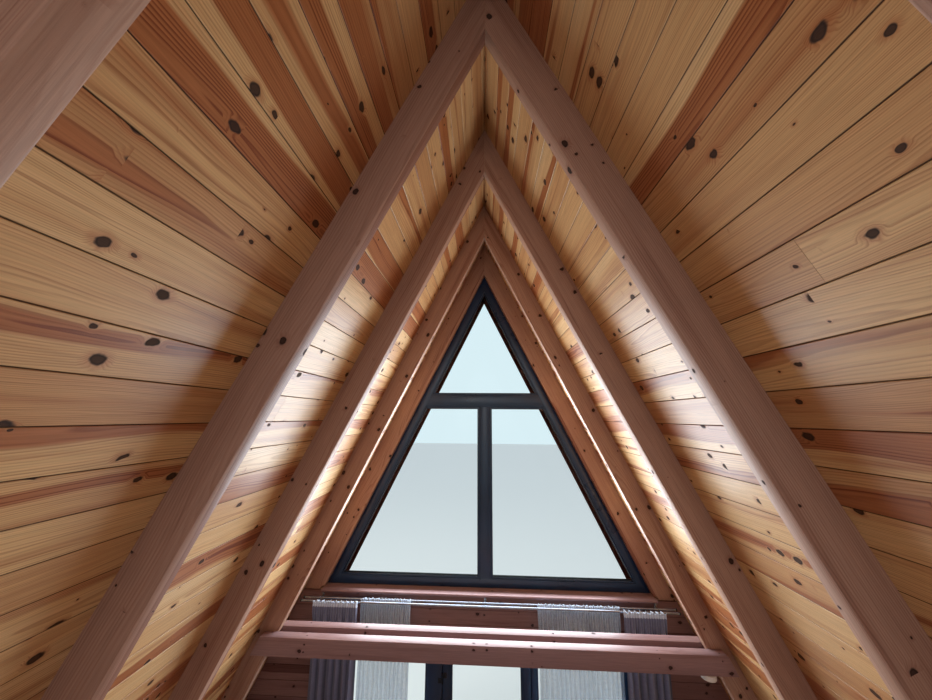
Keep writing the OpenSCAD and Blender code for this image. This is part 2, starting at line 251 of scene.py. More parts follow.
def bar(lo, hi, eased, batch, all_round=False, steps=2):
    """A straight timber or profile along its longest side. The edges of its face are eased: the face
    looks towards the room, or upwards on a piece that runs along the cabin."""
    lo, hi = Vector(lo), Vector(hi)
    span = hi - lo
    long_way = max(range(3), key=lambda i: span[i])
    way = (RIGHT, INTO, UP)[long_way]
    wide, thick = ((span.z, span.y), (span.x, span.z), (span.x, span.y))[long_way]
    pattern = plank(wide, thick, eased, all_round, steps)
    centre = (lo + hi) / 2
    if long_way == 1:
        centre.z = hi.z
        where = placed(centre, way, -UP)
    else:
        centre.y = lo.y
        where = placed(centre, way, INTO)
    piece = lay(pattern, span[long_way], where, batch)
    throw_away(pattern)
    return piece


def join(name, parts):
    select_only(*parts)
    if len(parts) > 1:
        bpy.ops.object.join()
    return named(bpy.context.object, name)


def trim(piece, at, away):
    """Cuts off what lies beyond a plane and closes the cut."""
    select_only(piece)
    bpy.ops.object.mode_set(mode="EDIT")
    bpy.ops.mesh.select_all(action="SELECT")
    bpy.ops.mesh.bisect(plane_co=at, plane_no=away, use_fill=True, clear_outer=True)
    return done(piece)


def between_slopes(piece, p):
    """Cuts a piece that crosses the cabin to both slopes, p metres in from the lining."""
    for side in SIDES.values():
        trim(piece, slope_point(side, 0, p, 0), out_of_slope(side))
    return piece


def hand_over(piece, material, slot, *nodes, body="shell"):
    """Gives a finished piece its material and its body, and hides the nodes it stands for. slot is not used."""
    if material is not None:
        piece.data.materials.clear()
        piece.data.materials.append(material)
    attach(piece, body)
    if nodes:
        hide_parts(*nodes)
    return piece


def dress(node, material):
    """Gives a CAD node that stays its material."""
    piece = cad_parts[node]
    piece.data.materials.clear()
    piece.data.materials.append(material)


# Shader nodes

def feed(tree, socket, value):
    if isinstance(value, bpy.types.NodeSocket):
        tree.links.new(value, socket)
    else:
        socket.default_value = value


def add(tree, kind, **inputs):
    """Adds a shader node and sets or links its inputs by their names."""
    made = tree.nodes.new("ShaderNode" + kind)
    for name, value in inputs.items():
        feed(tree, made.inputs[name.replace("_", " ")], value)
    return made


def calc(tree, operation, *values, clamp=False):
    made = tree.nodes.new("ShaderNodeMath")
    made.operation, made.use_clamp = operation, clamp
    for socket, value in zip(made.inputs, values):
        feed(tree, socket, value)
    return made.outputs[0]


def vector_calc(tree, operation, *values):
    made = tree.nodes.new("ShaderNodeVectorMath")
    made.operation = operation
    for socket, value in zip(made.inputs, values):
        feed(tree, socket, value)
    return made.outputs["Vector"]


def step(tree, value, start, end, low_value=0.0, high_value=1.0):
    """Goes smoothly from one value to another as the input goes from start to end."""
    made = add(tree, "MapRange", Value=value, From_Min=start, From_Max=end, To_Min=low_value, To_Max=high_value)
    made.interpolation_type = "SMOOTHSTEP"
    return made.outputs[0]


def mix(tree, share, a, b, blend="MIX"):
    made = tree.nodes.new("ShaderNodeMix")
    made.data_type, made.blend_type = "RGBA", blend
    for index, value in ((0, share), (6, a), (7, b)):
        feed(tree, made.inputs[index], value)
    return made.outputs[2]


def grey(tree, value):
    return add(tree, "CombineColor", Red=value, Green=value, Blue=value).outputs[0]


def ramp(tree, value, stops):
    """A colour ramp with stops of (place, colour)."""
    made = add(tree, "ValToRGB", Fac=value)
    band = made.color_ramp
    for place, _ in stops[2:]:
        band.elements.new(place)
    for element, (place, tone) in zip(band.elements, stops):
        element.position, element.color = place, tone
    return made.outputs["Color"]


def noise(tree, vector, scale, detail=2.0, rough=0.5):
    made = add(tree, "TexNoise", Vector=vector, Scale=scale, Detail=detail, Roughness=rough)
    return made.outputs["Fac"]


def attribute(tree, name):
    made = tree.nodes.new("ShaderNodeAttribute")
    made.attribute_name = name
    return made.outputs["Vector"]


def group(name, ins, outs):
    """A node group with the given sockets, each (kind, name, default) or (kind, name)."""
    tree = bpy.data.node_groups.new(name, "ShaderNodeTree")
    for kind, label, start in ins:
        socket = tree.interface.new_socket(label, in_out="INPUT", socket_type="NodeSocket" + kind)
        if start is not None:
            socket.default_value = start
    for kind, label in outs:
        tree.interface.new_socket(label, in_out="OUTPUT", socket_type="NodeSocket" + kind)
    return tree, tree.nodes.new("NodeGroupInput").outputs, tree.nodes.new("NodeGroupOutput").inputs


def use(tree, shared, **inputs):
    made = tree.nodes.new("ShaderNodeGroup")
    made.node_tree = shared
    for name, value in inputs.items():
        feed(tree, made.inputs[name.replace("_", " ")], value)
    return made.outputs


def tone(red, green, blue):
    """A colour given as it looks on a screen, from 0 to 255."""
    def linear(part):
        part /= 255
        return part / 12.92 if part <= 0.04045 else ((part + 0.055) / 1.055) ** 2.4
    return (linear(red), linear(green), linear(blue), 1.0)


# Effects that several materials share

def timber_figure():
    """Growth rings, heartwood, knots and fibres of one sawn board, from its own grain and lot."""
    tree, given, out = group(
        "timber_figure",
        [("Vector", "Grain", None), ("Vector", "Lot", None), ("Float", "Ring Width", 0.006),
         ("Float", "Heart Size", 0.09), ("Float", "Knot Radius", 0.013), ("Float", "Knot Share", 0.5)],
        [("Float", "Rings"), ("Float", "Heart"), ("Float", "Knot"), ("Float", "Rim"), ("Float", "Halo"),
         ("Float", "Fibre"), ("Float", "Patch")])
    lots = add(tree, "SeparateXYZ", Vector=given["Lot"]).outputs
    parts = add(tree, "SeparateXYZ", Vector=given["Grain"]).outputs
    shift = vector_calc(tree, "MULTIPLY", given["Lot"], (41.0, 29.0, 17.0))
    here = vector_calc(tree, "ADD", given["Grain"], shift)

    # Knots sit in whorls along the board, on its face and on its sides, each with its own size
    spacing = 0.080
    whorl_step = 0.46
    around = calc(tree, "ADD", parts["Y"], parts["Z"])
    flat = add(tree, "CombineXYZ", X=calc(tree, "MULTIPLY", parts["X"], 0.75), Y=around, Z=0.0).outputs[0]
    knots = tree.nodes.new("ShaderNodeTexVoronoi")
    knots.voronoi_dimensions = "2D"
    feed(tree, knots.inputs["Vector"], vector_calc(tree, "ADD", flat, shift))
    feed(tree, knots.inputs["Scale"], 1 / spacing)
    turn = calc(tree, "MULTIPLY_ADD", parts["X"], 2 * math.pi / whorl_step, calc(tree, "MULTIPLY", lots["Y"], 61.0))
    whorl = step(tree, calc(tree, "SINE", turn), 0.15, 0.85, 0.10, 1.0)
    dice = add(tree, "SeparateColor", Color=knots.outputs["Color"]).outputs
    present = calc(tree, "GREATER_THAN", calc(tree, "MULTIPLY", whorl, given["Knot Share"]), dice["Green"])
    size = calc(tree, "MULTIPLY", given["Knot Radius"], step(tree, dice["Red"], 0.0, 1.0, 0.25, 1.3))
    size = calc(tree, "MULTIPLY", size, present)
    wobble = calc(tree, "MULTIPLY", calc(tree, "SUBTRACT", noise(tree, here, 48.0, 1.0), 0.5), 0.012)
    away = calc(tree, "ADD", calc(tree, "MULTIPLY", knots.outputs["Distance"], spacing), wobble)
    knot = step(tree, away, calc(tree, "MULTIPLY", size, 1.1), calc(tree, "MULTIPLY", size, 0.66))
    rim = step(tree, away, calc(tree, "MULTIPLY", size, 0.45), calc(tree, "MULTIPLY", size, 0.8))
    rim = calc(tree, "MULTIPLY", rim, knot)
    reach = calc(tree, "MINIMUM", calc(tree, "MULTIPLY", size, 2.5), spacing * 0.42)
    halo = step(tree, away, reach, calc(tree, "MULTIPLY", size, 0.8))
    near = step(tree, away, reach, 0.0)
    bend = calc(tree, "MULTIPLY", near, calc(tree, "MULTIPLY", size, 1.5))

    # Rings round a pith behind the board, cut at a slant so that they run out in arches
    slow = noise(tree, vector_calc(tree, "MULTIPLY", here, (1.1, 3.0, 3.0)), 1.0, 1.0)
    quick = noise(tree, vector_calc(tree, "MULTIPLY", here, (8.0, 50.0, 50.0)), 1.0, 0.0)
    drift = calc(tree, "MULTIPLY", calc(tree, "SUBTRACT", slow, 0.5), 0.11)
    waver = calc(tree, "MULTIPLY", calc(tree, "SUBTRACT", quick, 0.5), 0.004)
    beside = calc(tree, "ADD", calc(tree, "SUBTRACT", parts["Y"], step(tree, lots["X"], 0.0, 1.0, -0.075, 0.075)), drift)
    behind = calc(tree, "ADD", parts["Z"], step(tree, lots["Y"], 0.0, 1.0, 0.004, 0.06))
    radius = calc(tree, "SQRT", calc(tree, "ADD", calc(tree, "MULTIPLY", beside, beside),
                                     calc(tree, "MULTIPLY", behind, behind)))
    taper = calc(tree, "MULTIPLY", parts["X"], step(tree, lots["Z"], 0.0, 1.0, -0.02, 0.02))
    radius = calc(tree, "ADD", calc(tree, "ADD", radius, taper), calc(tree, "ADD", bend, waver))
    own = calc(tree, "FRACT", calc(tree, "MULTIPLY", lots["Z"], 7.3))
    wide = calc(tree, "MULTIPLY", given["Ring Width"], step(tree, own, 0.0, 1.0, 0.7, 1.4))
    turns = calc(tree, "DIVIDE", radius, wide)
    year = calc(tree, "FRACT", turns)
    grown = calc(tree, "MULTIPLY", step(tree, year, 0.25, 0.85), step(tree, year, 1.0, 0.86))
    chance = tree.nodes.new("ShaderNodeTexWhiteNoise")
    chance.noise_dimensions = "1D"
    feed(tree, chance.inputs["W"], calc(tree, "ADD", calc(tree, "FLOOR", turns), calc(tree, "MULTIPLY", lots["X"], 97.0)))
    rings = calc(tree, "MULTIPLY", grown, step(tree, chance.outputs["Value"], 0.0, 1.0, 0.25, 1.0))

    fibre = noise(tree, vector_calc(tree, "MULTIPLY", here, (7.0, 240.0, 240.0)), 1.0, 2.0, 0.6)
    patch = noise(tree, vector_calc(tree, "MULTIPLY", here, (0.8, 17.0, 17.0)), 1.0, 2.0)
    edge = calc(tree, "MULTIPLY", given["Heart Size"], step(tree, own, 0.30, 1.0))
    edge = calc(tree, "ADD", edge, calc(tree, "MULTIPLY", calc(tree, "SUBTRACT", patch, 0.5), 0.03))
    heart = step(tree, radius, calc(tree, "ADD", edge, 0.006), calc(tree, "SUBTRACT", edge, 0.006))
    flame = step(tree, patch, 0.50, 0.80, 0.0, 0.7)
    heart = calc(tree, "MAXIMUM", heart, flame)
    for label, value in (("Rings", rings), ("Heart", heart), ("Knot", knot), ("Rim", rim), ("Halo", halo),
                         ("Fibre", fibre), ("Patch", patch)):
        feed(tree, out[label], value)
    return tree


def woven_cloth():
    """Threads of a plain weave, from a map in metres."""
    tree, given, out = group(
        "woven_cloth", [("Vector", "Map", None), ("Float", "Threads", 700.0)],
        [("Float", "Weave"), ("Float", "Slub"), ("Float", "Height")])
    turn = calc(tree, "MULTIPLY", given["Threads"], math.pi)
    parts = add(tree, "SeparateXYZ", Vector=given["Map"]).outputs
    warp = calc(tree, "ABSOLUTE", calc(tree, "SINE", calc(tree, "MULTIPLY", parts["X"], turn)))
    weft = calc(tree, "ABSOLUTE", calc(tree, "SINE", calc(tree, "MULTIPLY", parts["Y"], turn)))
    weave = calc(tree, "MAXIMUM", warp, weft)
    long_slub = noise(tree, vector_calc(tree, "MULTIPLY", given["Map"], (380.0, 9.0, 1.0)), 1.0, 2.0)
    cross_slub = noise(tree, vector_calc(tree, "MULTIPLY", given["Map"], (9.0, 380.0, 1.0)), 1.0, 2.0)
    slub = calc(tree, "MULTIPLY", calc(tree, "ADD", long_slub, cross_slub), 0.5)
    height = calc(tree, "ADD", calc(tree, "MULTIPLY", weave, 0.5), slub)
    for label, value in (("Weave", weave), ("Slub", slub), ("Height", height)):
        feed(tree, out[label], value)
    return tree


figure = timber_figure()
weaving = woven_cloth()


# Materials

def new_material(name):
    material = bpy.data.materials.new(name)
    material.use_nodes = True
    tree = material.node_tree
    return material, tree, tree.nodes["Principled BSDF"]


def bump(tree, shader, height, distance):
    made = add(tree, "Bump", Height=height, Distance=distance)
    feed(tree, shader.inputs["Normal"], made.outputs[0])


def wood(name, sap, heart, late, knot, ring_width=0.006, heart_size=0.09, knot_radius=0.012, knot_share=0.5,
         ring_share=0.5, roughness=0.42, coat=0.2, relief=0.0003, groove_shade=0.0):
    """Varnished or sawn timber. sap runs from the palest to the darkest board, heart is the heartwood,
    late tints the late wood, and groove_shade sets the painted shade that darkens eased edges down to the joint between
    two boards."""
    material, tree, shader = new_material(name)
    grain, lot = attribute(tree, "grain"), attribute(tree, "lot")
    marks = use(tree, figure, Grain=grain, Lot=lot, Ring_Width=ring_width, Heart_Size=heart_size,
                Knot_Radius=knot_radius, Knot_Share=knot_share)
    lots = add(tree, "SeparateXYZ", Vector=lot).outputs
    hue = calc(tree, "ADD", calc(tree, "MULTIPLY", lots["Z"], 0.70), calc(tree, "MULTIPLY", marks["Patch"], 0.40), clamp=True)
    base = ramp(tree, hue, [(i / (len(sap) - 1), shade) for i, shade in enumerate(sap)])
    base = mix(tree, marks["Heart"], base, heart)
    strength = step(tree, marks["Heart"], 0.0, 1.0, ring_share, min(1.0, ring_share * 1.8))
    base = mix(tree, calc(tree, "MULTIPLY", marks["Rings"], strength), base, late, "MULTIPLY")
    base = mix(tree, 1.0, base, grey(tree, step(tree, marks["Fibre"], 0.3, 0.7, 0.88, 1.06)), "MULTIPLY")
    base = mix(tree, calc(tree, "MULTIPLY", marks["Halo"], 0.55), base, heart)
    base = mix(tree, calc(tree, "MULTIPLY", marks["Knot"], 0.92), base, knot)
    dark_rim = tuple(part * 0.35 for part in knot[:3]) + (1.0,)
    base = mix(tree, calc(tree, "MULTIPLY", marks["Rim"], 0.8), base, dark_rim)
    rough = calc(tree, "MULTIPLY_ADD", calc(tree, "SUBTRACT", marks["Fibre"], 0.5), 0.16, roughness)
    dull = marks["Knot"]
    # Painted shade: the eased edges get darker down into the joint between boards
    if groove_shade:
        deep = add(tree, "SeparateXYZ", Vector=grain).outputs["Z"]
        dark = step(tree, deep, 0.0002, 0.0022)
        base = mix(tree, calc(tree, "MULTIPLY", dark, groove_shade), base, tone(52, 30, 18))
        dull = calc(tree, "MAXIMUM", dull, dark)
    rough = calc(tree, "MULTIPLY_ADD", dull, 0.4, rough)
    shader.inputs["Specular IOR Level"].default_value = 0.3
    shader.inputs["Coat Roughness"].default_value = 0.25
    if coat:
        feed(tree, shader.inputs["Coat Weight"], step(tree, dull, 0.0, 0.6, coat, 0.0))
    feed(tree, shader.inputs["Base Color"], base)
    feed(tree, shader.inputs["Roughness"], rough)
    bump(tree, shader, marks["Fibre"], relief)
    return material


pine_lining = wood(
    "pine_lining", [tone(230, 200, 154), tone(218, 180, 128), tone(204, 160, 110), tone(186, 136, 90)],
    tone(170, 108, 66), tone(166, 108, 68), tone(44, 26, 18), knot_radius=0.013, knot_share=0.5, groove_shade=0.85)
rafter_wood = wood(
    "rafter_wood", [tone(184, 150, 130), tone(170, 134, 114), tone(154, 117, 99)],
    tone(138, 96, 78), tone(186, 146, 122), tone(44, 27, 21), knot_radius=0.011, knot_share=0.42, heart_size=0.05,
    ring_share=0.45, roughness=0.58, coat=0.03)
tie_wood = wood(
    "tie_wood", [tone(152, 124, 124), tone(136, 108, 109)],
    tone(116, 84, 83), tone(192, 160, 150), tone(46, 29, 27), knot_radius=0.010, knot_share=0.5, heart_size=0.05,
    ring_share=0.35, roughness=0.5, coat=0.08)
gable_wood = wood(
    "gable_wood", [tone(156, 124, 120), tone(141, 108, 104), tone(126, 92, 89)],
    tone(106, 72, 68), tone(190, 152, 140), tone(44, 26, 24), knot_radius=0.013, groove_shade=0.8, ring_share=0.4)
sill_wood = wood(
    "sill_wood", [tone(158, 130, 130), tone(143, 115, 116)],
    tone(124, 94, 92), tone(206, 172, 160), tone(74, 48, 42), knot_radius=0.008, heart_size=0.03,
    ring_share=0.3, roughness=0.34)
floor_wood = wood(
    "floor_wood", [tone(206, 166, 118), tone(192, 148, 98), tone(176, 128, 84)],
    tone(150, 98, 62), tone(186, 138, 98), tone(72, 46, 34), knot_radius=0.013, groove_shade=0.8, roughness=0.34)
sawn_timber = wood(
    "sawn_timber", [tone(156, 132, 104), tone(138, 112, 86)],
    tone(120, 92, 68), tone(176, 148, 122), tone(60, 42, 32), roughness=0.8, coat=0.0, relief=0.0010)
red_stain = wood(
    "red_stain", [tone(152, 66, 48), tone(140, 56, 42), tone(124, 46, 35)],
    tone(112, 42, 32), tone(190, 150, 140), tone(58, 24, 18), knot_radius=0.011, ring_share=0.4,
    roughness=0.55, coat=0.05, groove_shade=0.8)


def panel_finish():
    """Planed board for the edges of the wall and roof cores, with long streaks."""
    material, tree, shader = new_material("planed_panel")
    place = add(tree, "TexCoord").outputs["Object"]
    streak = noise(tree, vector_calc(tree, "MULTIPLY", place, (60.0, 60.0, 4.0)), 1.0, 4.0, 0.6)
    base = ramp(tree, streak, [(0.25, tone(176, 132, 92)), (0.75, tone(206, 166, 124))])
    feed(tree, shader.inputs["Base Color"], base)
    feed(tree, shader.inputs["Roughness"], step(tree, streak, 0.2, 0.8, 0.55, 0.7))
    bump(tree, shader, streak, 0.0004)
    return material


def window_profile_finish():
    """Smooth coated window profile with a faint sheen."""
    material, tree, shader = new_material("window_profile")
    place = add(tree, "TexCoord").outputs["Object"]
    cloud = noise(tree, place, 3.0, 3.0)
    base = mix(tree, step(tree, cloud, 0.3, 0.7), tone(15, 40, 68), tone(20, 50, 82))
    feed(tree, shader.inputs["Base Color"], base)
    feed(tree, shader.inputs["Roughness"], step(tree, cloud, 0.2, 0.8, 0.26, 0.36))
    bump(tree, shader, noise(tree, place, 900.0, 1.0), 0.00004)
    return material


def glass_finish():
    """Clear glazing that lets the lamps through."""
    material, tree, shader = new_material("clear_glazing")
    place = add(tree, "TexCoord").outputs["Object"]
    feed(tree, shader.inputs["Roughness"], step(tree, noise(tree, place, 1.6, 3.0), 0.35, 0.75, 0.0, 0.03))
    shader.inputs["Base Color"].default_value = (0.86, 0.96, 0.97, 1.0)
    shader.inputs["Transmission Weight"].default_value = 1.0
    shader.inputs["IOR"].default_value = 1.12
    path = add(tree, "LightPath").outputs
    passing = calc(tree, "MAXIMUM", path["Is Shadow Ray"], path["Is Diffuse Ray"])
    clear = add(tree, "BsdfTransparent", Color=(0.92, 0.97, 0.97, 1.0)).outputs[0]
    both = tree.nodes.new("ShaderNodeMixShader")
    feed(tree, both.inputs[0], passing)
    feed(tree, both.inputs[1], shader.outputs[0])
    feed(tree, both.inputs[2], clear)
    feed(tree, tree.nodes["Material Output"].inputs["Surface"], both.outputs[0])
    return material


def coated(name, base, roughness, spread=0.06, metallic=1.0, relief=0.0):
    """Bare metal, coated metal or plastic with a slightly uneven sheen."""
    material, tree, shader = new_material(name)
    place = add(tree, "TexCoord").outputs["Object"]
    cloud = noise(tree, place, 14.0, 3.0)
    dim = tuple(part * 0.82 for part in base[:3]) + (1.0,)
    feed(tree, shader.inputs["Base Color"], mix(tree, step(tree, cloud, 0.3, 0.7), base, dim))
    feed(tree, shader.inputs["Roughness"], step(tree, cloud, 0.2, 0.8, roughness, roughness + spread))
    shader.inputs["Metallic"].default_value = metallic
    if relief:
        bump(tree, shader, noise(tree, place, 700.0, 2.0), relief)
    return material


def cloth(name, pale, dark, size, threads, opacity, sheen, valley_shade):
    """Woven curtain cloth. size is the cut cloth in metres, opacity the share that the threads cover,
    valley_shade the brightness left in the valleys of the folds, where shade is painted."""
    material, tree, shader = new_material(name)
    flat = vector_calc(tree, "MULTIPLY", add(tree, "TexCoord").outputs["UV"], (size[0], size[1], 1.0))
    marks = use(tree, weaving, Map=flat, Threads=threads)
    base = mix(tree, step(tree, marks["Slub"], 0.35, 0.65), dark, pale)
    # Painted shade: the cloth is darker in the valleys of its folds, read from the fold attribute
    shade = grey(tree, step(tree, attribute(tree, "fold"), 0.1, 0.75, valley_shade, 1.0))
    feed(tree, shader.inputs["Base Color"], mix(tree, 1.0, base, shade, "MULTIPLY"))
    shader.inputs["Roughness"].default_value = 0.85
    shader.inputs["Sheen Weight"].default_value = sheen
    if opacity < 1:
        cover = step(tree, marks["Height"], 0.45, 1.15, opacity - 0.2, opacity + 0.2)
        feed(tree, shader.inputs["Alpha"], cover)
    bump(tree, shader, marks["Height"], 0.0003)
    return material


planed_panel = panel_finish()
window_profile = window_profile_finish()
clear_glazing = glass_finish()
rubber = coated("rubber_gasket", tone(22, 24, 27), 0.6, metallic=0.0)
roof_coating = coated("roof_coating", tone(66, 67, 71), 0.38, 0.12, metallic=0.0, relief=0.0002)
hinge_black = coated("hinge_black", tone(34, 38, 44), 0.4, metallic=0.6)
brushed_alloy = coated("brushed_alloy", tone(196, 198, 201), 0.28)
screw_steel = coated("screw_steel", tone(150, 152, 156), 0.3)
chrome = coated("chrome_tube", tone(160, 168, 182), 0.2, metallic=0.8)
cap_black = coated("cap_black", tone(26, 27, 30), 0.35, metallic=0.0)
lamp_white = coated("lamp_white", tone(226, 226, 222), 0.35, metallic=0.0)
lamp_lens = coated("lamp_lens", tone(66, 70, 76), 0.12, metallic=0.0)


# Camera

PHOTO_WIDTH = 932
FOCAL_PX = 341.8
SENSOR_MM = 36.0
EYE = Vector((-0.0104, -1.593, 4.572))
YAW, PITCH, ROLL = math.radians(2.99), math.radians(11.07), math.radians(0.43)


def set_camera():
    ahead = Vector((-math.sin(YAW) * math.cos(PITCH), math.cos(YAW) * math.cos(PITCH), math.sin(PITCH)))
    level = Vector((math.cos(YAW), math.sin(YAW), 0))
    lift = level.cross(ahead)
    right = math.cos(ROLL) * level + math.sin(ROLL) * lift
    top = -math.sin(ROLL) * level + math.cos(ROLL) * lift
    bpy.ops.object.camera_add()
    camera = bpy.context.object
    camera.data.sensor_width = SENSOR_MM
    camera.data.lens = SENSOR_MM * FOCAL_PX / PHOTO_WIDTH
    camera.data.clip_start = 0.02
    axes = Matrix((right, top, -ahead)).transposed()
    camera.matrix_world = Matrix.Translation(EYE) @ axes.to_4x4()
    bpy.context.scene.camera = camera


set_camera()


# Base and floor

BOARD_GAP = 0.0008
BEAM_W = 0.200
JOIST_T = 0.070
FLOOR_BOARD = 0.120
DECK_FIT = 0.002


def ground_beams():
    batch = random.Random(5)
    lo, hi = low("ground_beams"), high("ground_beams")
    beams = []
    for x in (lo.x, -BEAM_W / 2, hi.x - BEAM_W):
        beams.append(bar((x, lo.y, lo.z), (x + BEAM_W, hi.y, hi.z), 0.005, batch, all_round=True))
    hand_over(join("ground_beam_row", beams), sawn_timber, "base_timber", "ground_beams")


def floor_joists():
    batch = random.Random(6)
    lo, hi = low("floor_joists"), high("floor_joists")
    joists = []
    for y in [y + RAFTER_T for y in frame_ys] + [gable_y - JOIST_T]:
        joists.append(bar((lo.x, y, lo.z), (hi.x, y + JOIST_T, hi.z), 0.004, batch, all_round=True))
    piece = between_slopes(join("floor_joist_row", joists), LAY_GAP)
    hand_over(piece, sawn_timber, "base_timber", "floor_joists")


def front_sill_beam():
    lo, hi = low("front_sill"), high("front_sill")
    beam = bar(lo, hi, 0.004, random.Random(9), all_round=True)
    hand_over(named(between_slopes(beam, RAFTER_D), "front_sill_beam"), sawn_timber, "base_timber", "front_sill")


def floor_boards():
    """Boards along the cabin, jointed on the joists, with short ones between the rafter feet."""
    batch = random.Random(12)
    thick = floor_z - deck_low
    edge = slope_x(floor_z, RAFTER_D + DECK_FIT) - DECK_FIT
    count = round(2 * edge / FLOOR_BOARD)
    cover = 2 * edge / count
    half = high("floor_deck").x
    joints = [y + RAFTER_T + JOIST_T / 2 for y in frame_ys]
    runs = []
    for i in range(count):
        ends = [first_y, batch.choice(joints[1:3]), batch.choice(joints[4:]), gable_y]
        runs += [(-edge + (i + 0.5) * cover, cover, a, b) for a, b in zip(ends, ends[1:])]
    short = (half - edge) / 2
    starts = [y + RAFTER_T + DECK_FIT for y in frame_ys]
    stops = [y - DECK_FIT for y in frame_ys[1:]] + [gable_y]
    for side in SIDES.values():
        for i in (0.5, 1.5):
            runs += [(side * (edge + i * short), short, a, b) for a, b in zip(starts, stops)]
    boards = []
    for wide in (cover, short):
        pattern = plank(wide - BOARD_GAP, thick, 0.002)
        for x, own, a, b in runs:
            if own == wide:
                where = placed(Vector((x, (a + b) / 2, floor_z)), INTO, -UP)
                boards.append(lay(pattern, b - a - BOARD_GAP, where, batch))
        throw_away(pattern)
    hand_over(join("floor_board_deck", boards), floor_wood, "floor_boards", "floor_deck")


ground_beams()
floor_joists()
front_sill_beam()
floor_boards()


# Roof lining: boards that run along the cabin, with butt joints on the frames

COURSE = 0.1332
FIRST_SEAM = 0.037


def lining(side_name):
    side = SIDES[side_name]
    batch = random.Random(41 + side)
    pattern = plank(COURSE - BOARD_GAP, LINING_T, 0.0026)
    boards = []
    middle = FIRST_SEAM - COURSE / 2
    while middle - COURSE / 2 < slope_down(eaves_z, -LINING_T):
        joints = sorted(batch.sample(frame_ys[1:], 1 + (batch.random() < 0.4)))
        free = [batch.uniform(0.2, 0.6) if batch.random() < 0.3 else 0 for _ in joints]
        ends = [first_y] + [y + RAFTER_T / 2 + off for y, off in zip(joints, free)] + [barge_y]
        for start, end in zip(ends, ends[1:]):
            centre = slope_point(side, middle, 0, (start + end) / 2)
            where = placed(centre, INTO, out_of_slope(side))
            boards.append(lay(pattern, end - start - BOARD_GAP, where, batch))
        middle += COURSE
    throw_away(pattern)
    piece = join(side_name + "_lining_boards", boards)
    trim(piece, (0, 0, 0), (-side, 0, 0))
    trim(piece, (0, 0, eaves_z), (0, 0, -1))
    hand_over(piece, pine_lining, "pine_lining", side_name + "_lining")


for side_name in SIDES:
    lining(side_name)


# Frames: rafters with rounded lower edges, and tie beams on both sides of them

MITRE_GAP = 0.001


def rafters(side_name):
    side = SIDES[side_name]
    batch = random.Random(7 + side)
    pattern = plank(RAFTER_T - 0.0006, RAFTER_D - LAY_GAP, 0.0045, steps=2, parts=SLOPE_PARTS)
    length = slope_down(base_z) + 0.4
    pieces = []
    for y in frame_ys + [gable_y, gable_y + RAFTER_T]:
        centre = slope_point(side, length / 2 - 0.3, RAFTER_D, y + RAFTER_T / 2)
        where = placed(centre, down_slope(side), out_of_slope(side))
        pieces.append(lay(pattern, length, where, batch))
    throw_away(pattern)
    piece = join(side_name + "_rafter_row", pieces)
    trim(piece, (side * MITRE_GAP / 2, 0, 0), (-side, 0, 0))
    trim(piece, (0, 0, base_z), (0, 0, -1))
    hand_over(piece, rafter_wood, "rafter_timber", side_name + "_rafters")


def ties(name, node, starts, seed):
    batch = random.Random(seed)
    pattern = plank(TIE_T, tie_top - tie_low, 0.004, all_round=True, steps=2)
    length = 2 * slope_x(tie_low, TIE_END) + 0.1
    pieces = []
    for y in starts:
        where = placed(Vector((0, y + TIE_T / 2, tie_low)), RIGHT, UP)
        pieces.append(lay(pattern, length, where, batch))
    throw_away(pattern)
    piece = between_slopes(join(name, pieces), TIE_END)
    hand_over(piece, tie_wood, "tie_timber", node)


for side_name in SIDES:
    rafters(side_name)
ties("near_tie_beams", "near_ties", [y - TIE_T for y in frame_ys[1:]], 91)
ties("far_tie_beams", "far_ties", [y + RAFTER_T for y in frame_ys], 92)


# Roof outside: seamed sheet, ridge cap, and boards on the edges

SEAM_W = 0.012
SEAM_H = 0.025
SEAM_SPACING = 0.500
PAN_SWELL = 0.0015
VERGE_W = 0.060
CAP_T = 0.005
CAP_SCREW_R = 0.0055
skin_p = -(LINING_T + CORE_T + LAY_GAP + SHEET_T)


def pan_pattern(width):
    """A metre of roof pan with two shallow stiffening swells along it."""
    piece = block("pan", (-width / 2, -0.5, 0), (width / 2, 0.5, SHEET_T))
    half = 0.018
    for middle in (-width / 6, width / 6):
        for x in (middle - half, middle + half):
            bpy.ops.mesh.select_all(action="SELECT")
            bpy.ops.mesh.bisect(plane_co=(x, 0, 0), plane_no=(1, 0, 0))
    choose(piece, "faces", lambda mid, way: way.z < -0.9 and abs(abs(mid.x) - width / 6) < half / 2)
    bpy.ops.mesh.extrude_region_move(TRANSFORM_OT_translate={"value": (0, 0, -PAN_SWELL)})
    ease(piece, 0.001, lambda mid, way: abs(way.y) > 0.9 and mid.z < -PAN_SWELL / 2)
    divide(piece, SLOPE_PARTS)
    return done(piece)


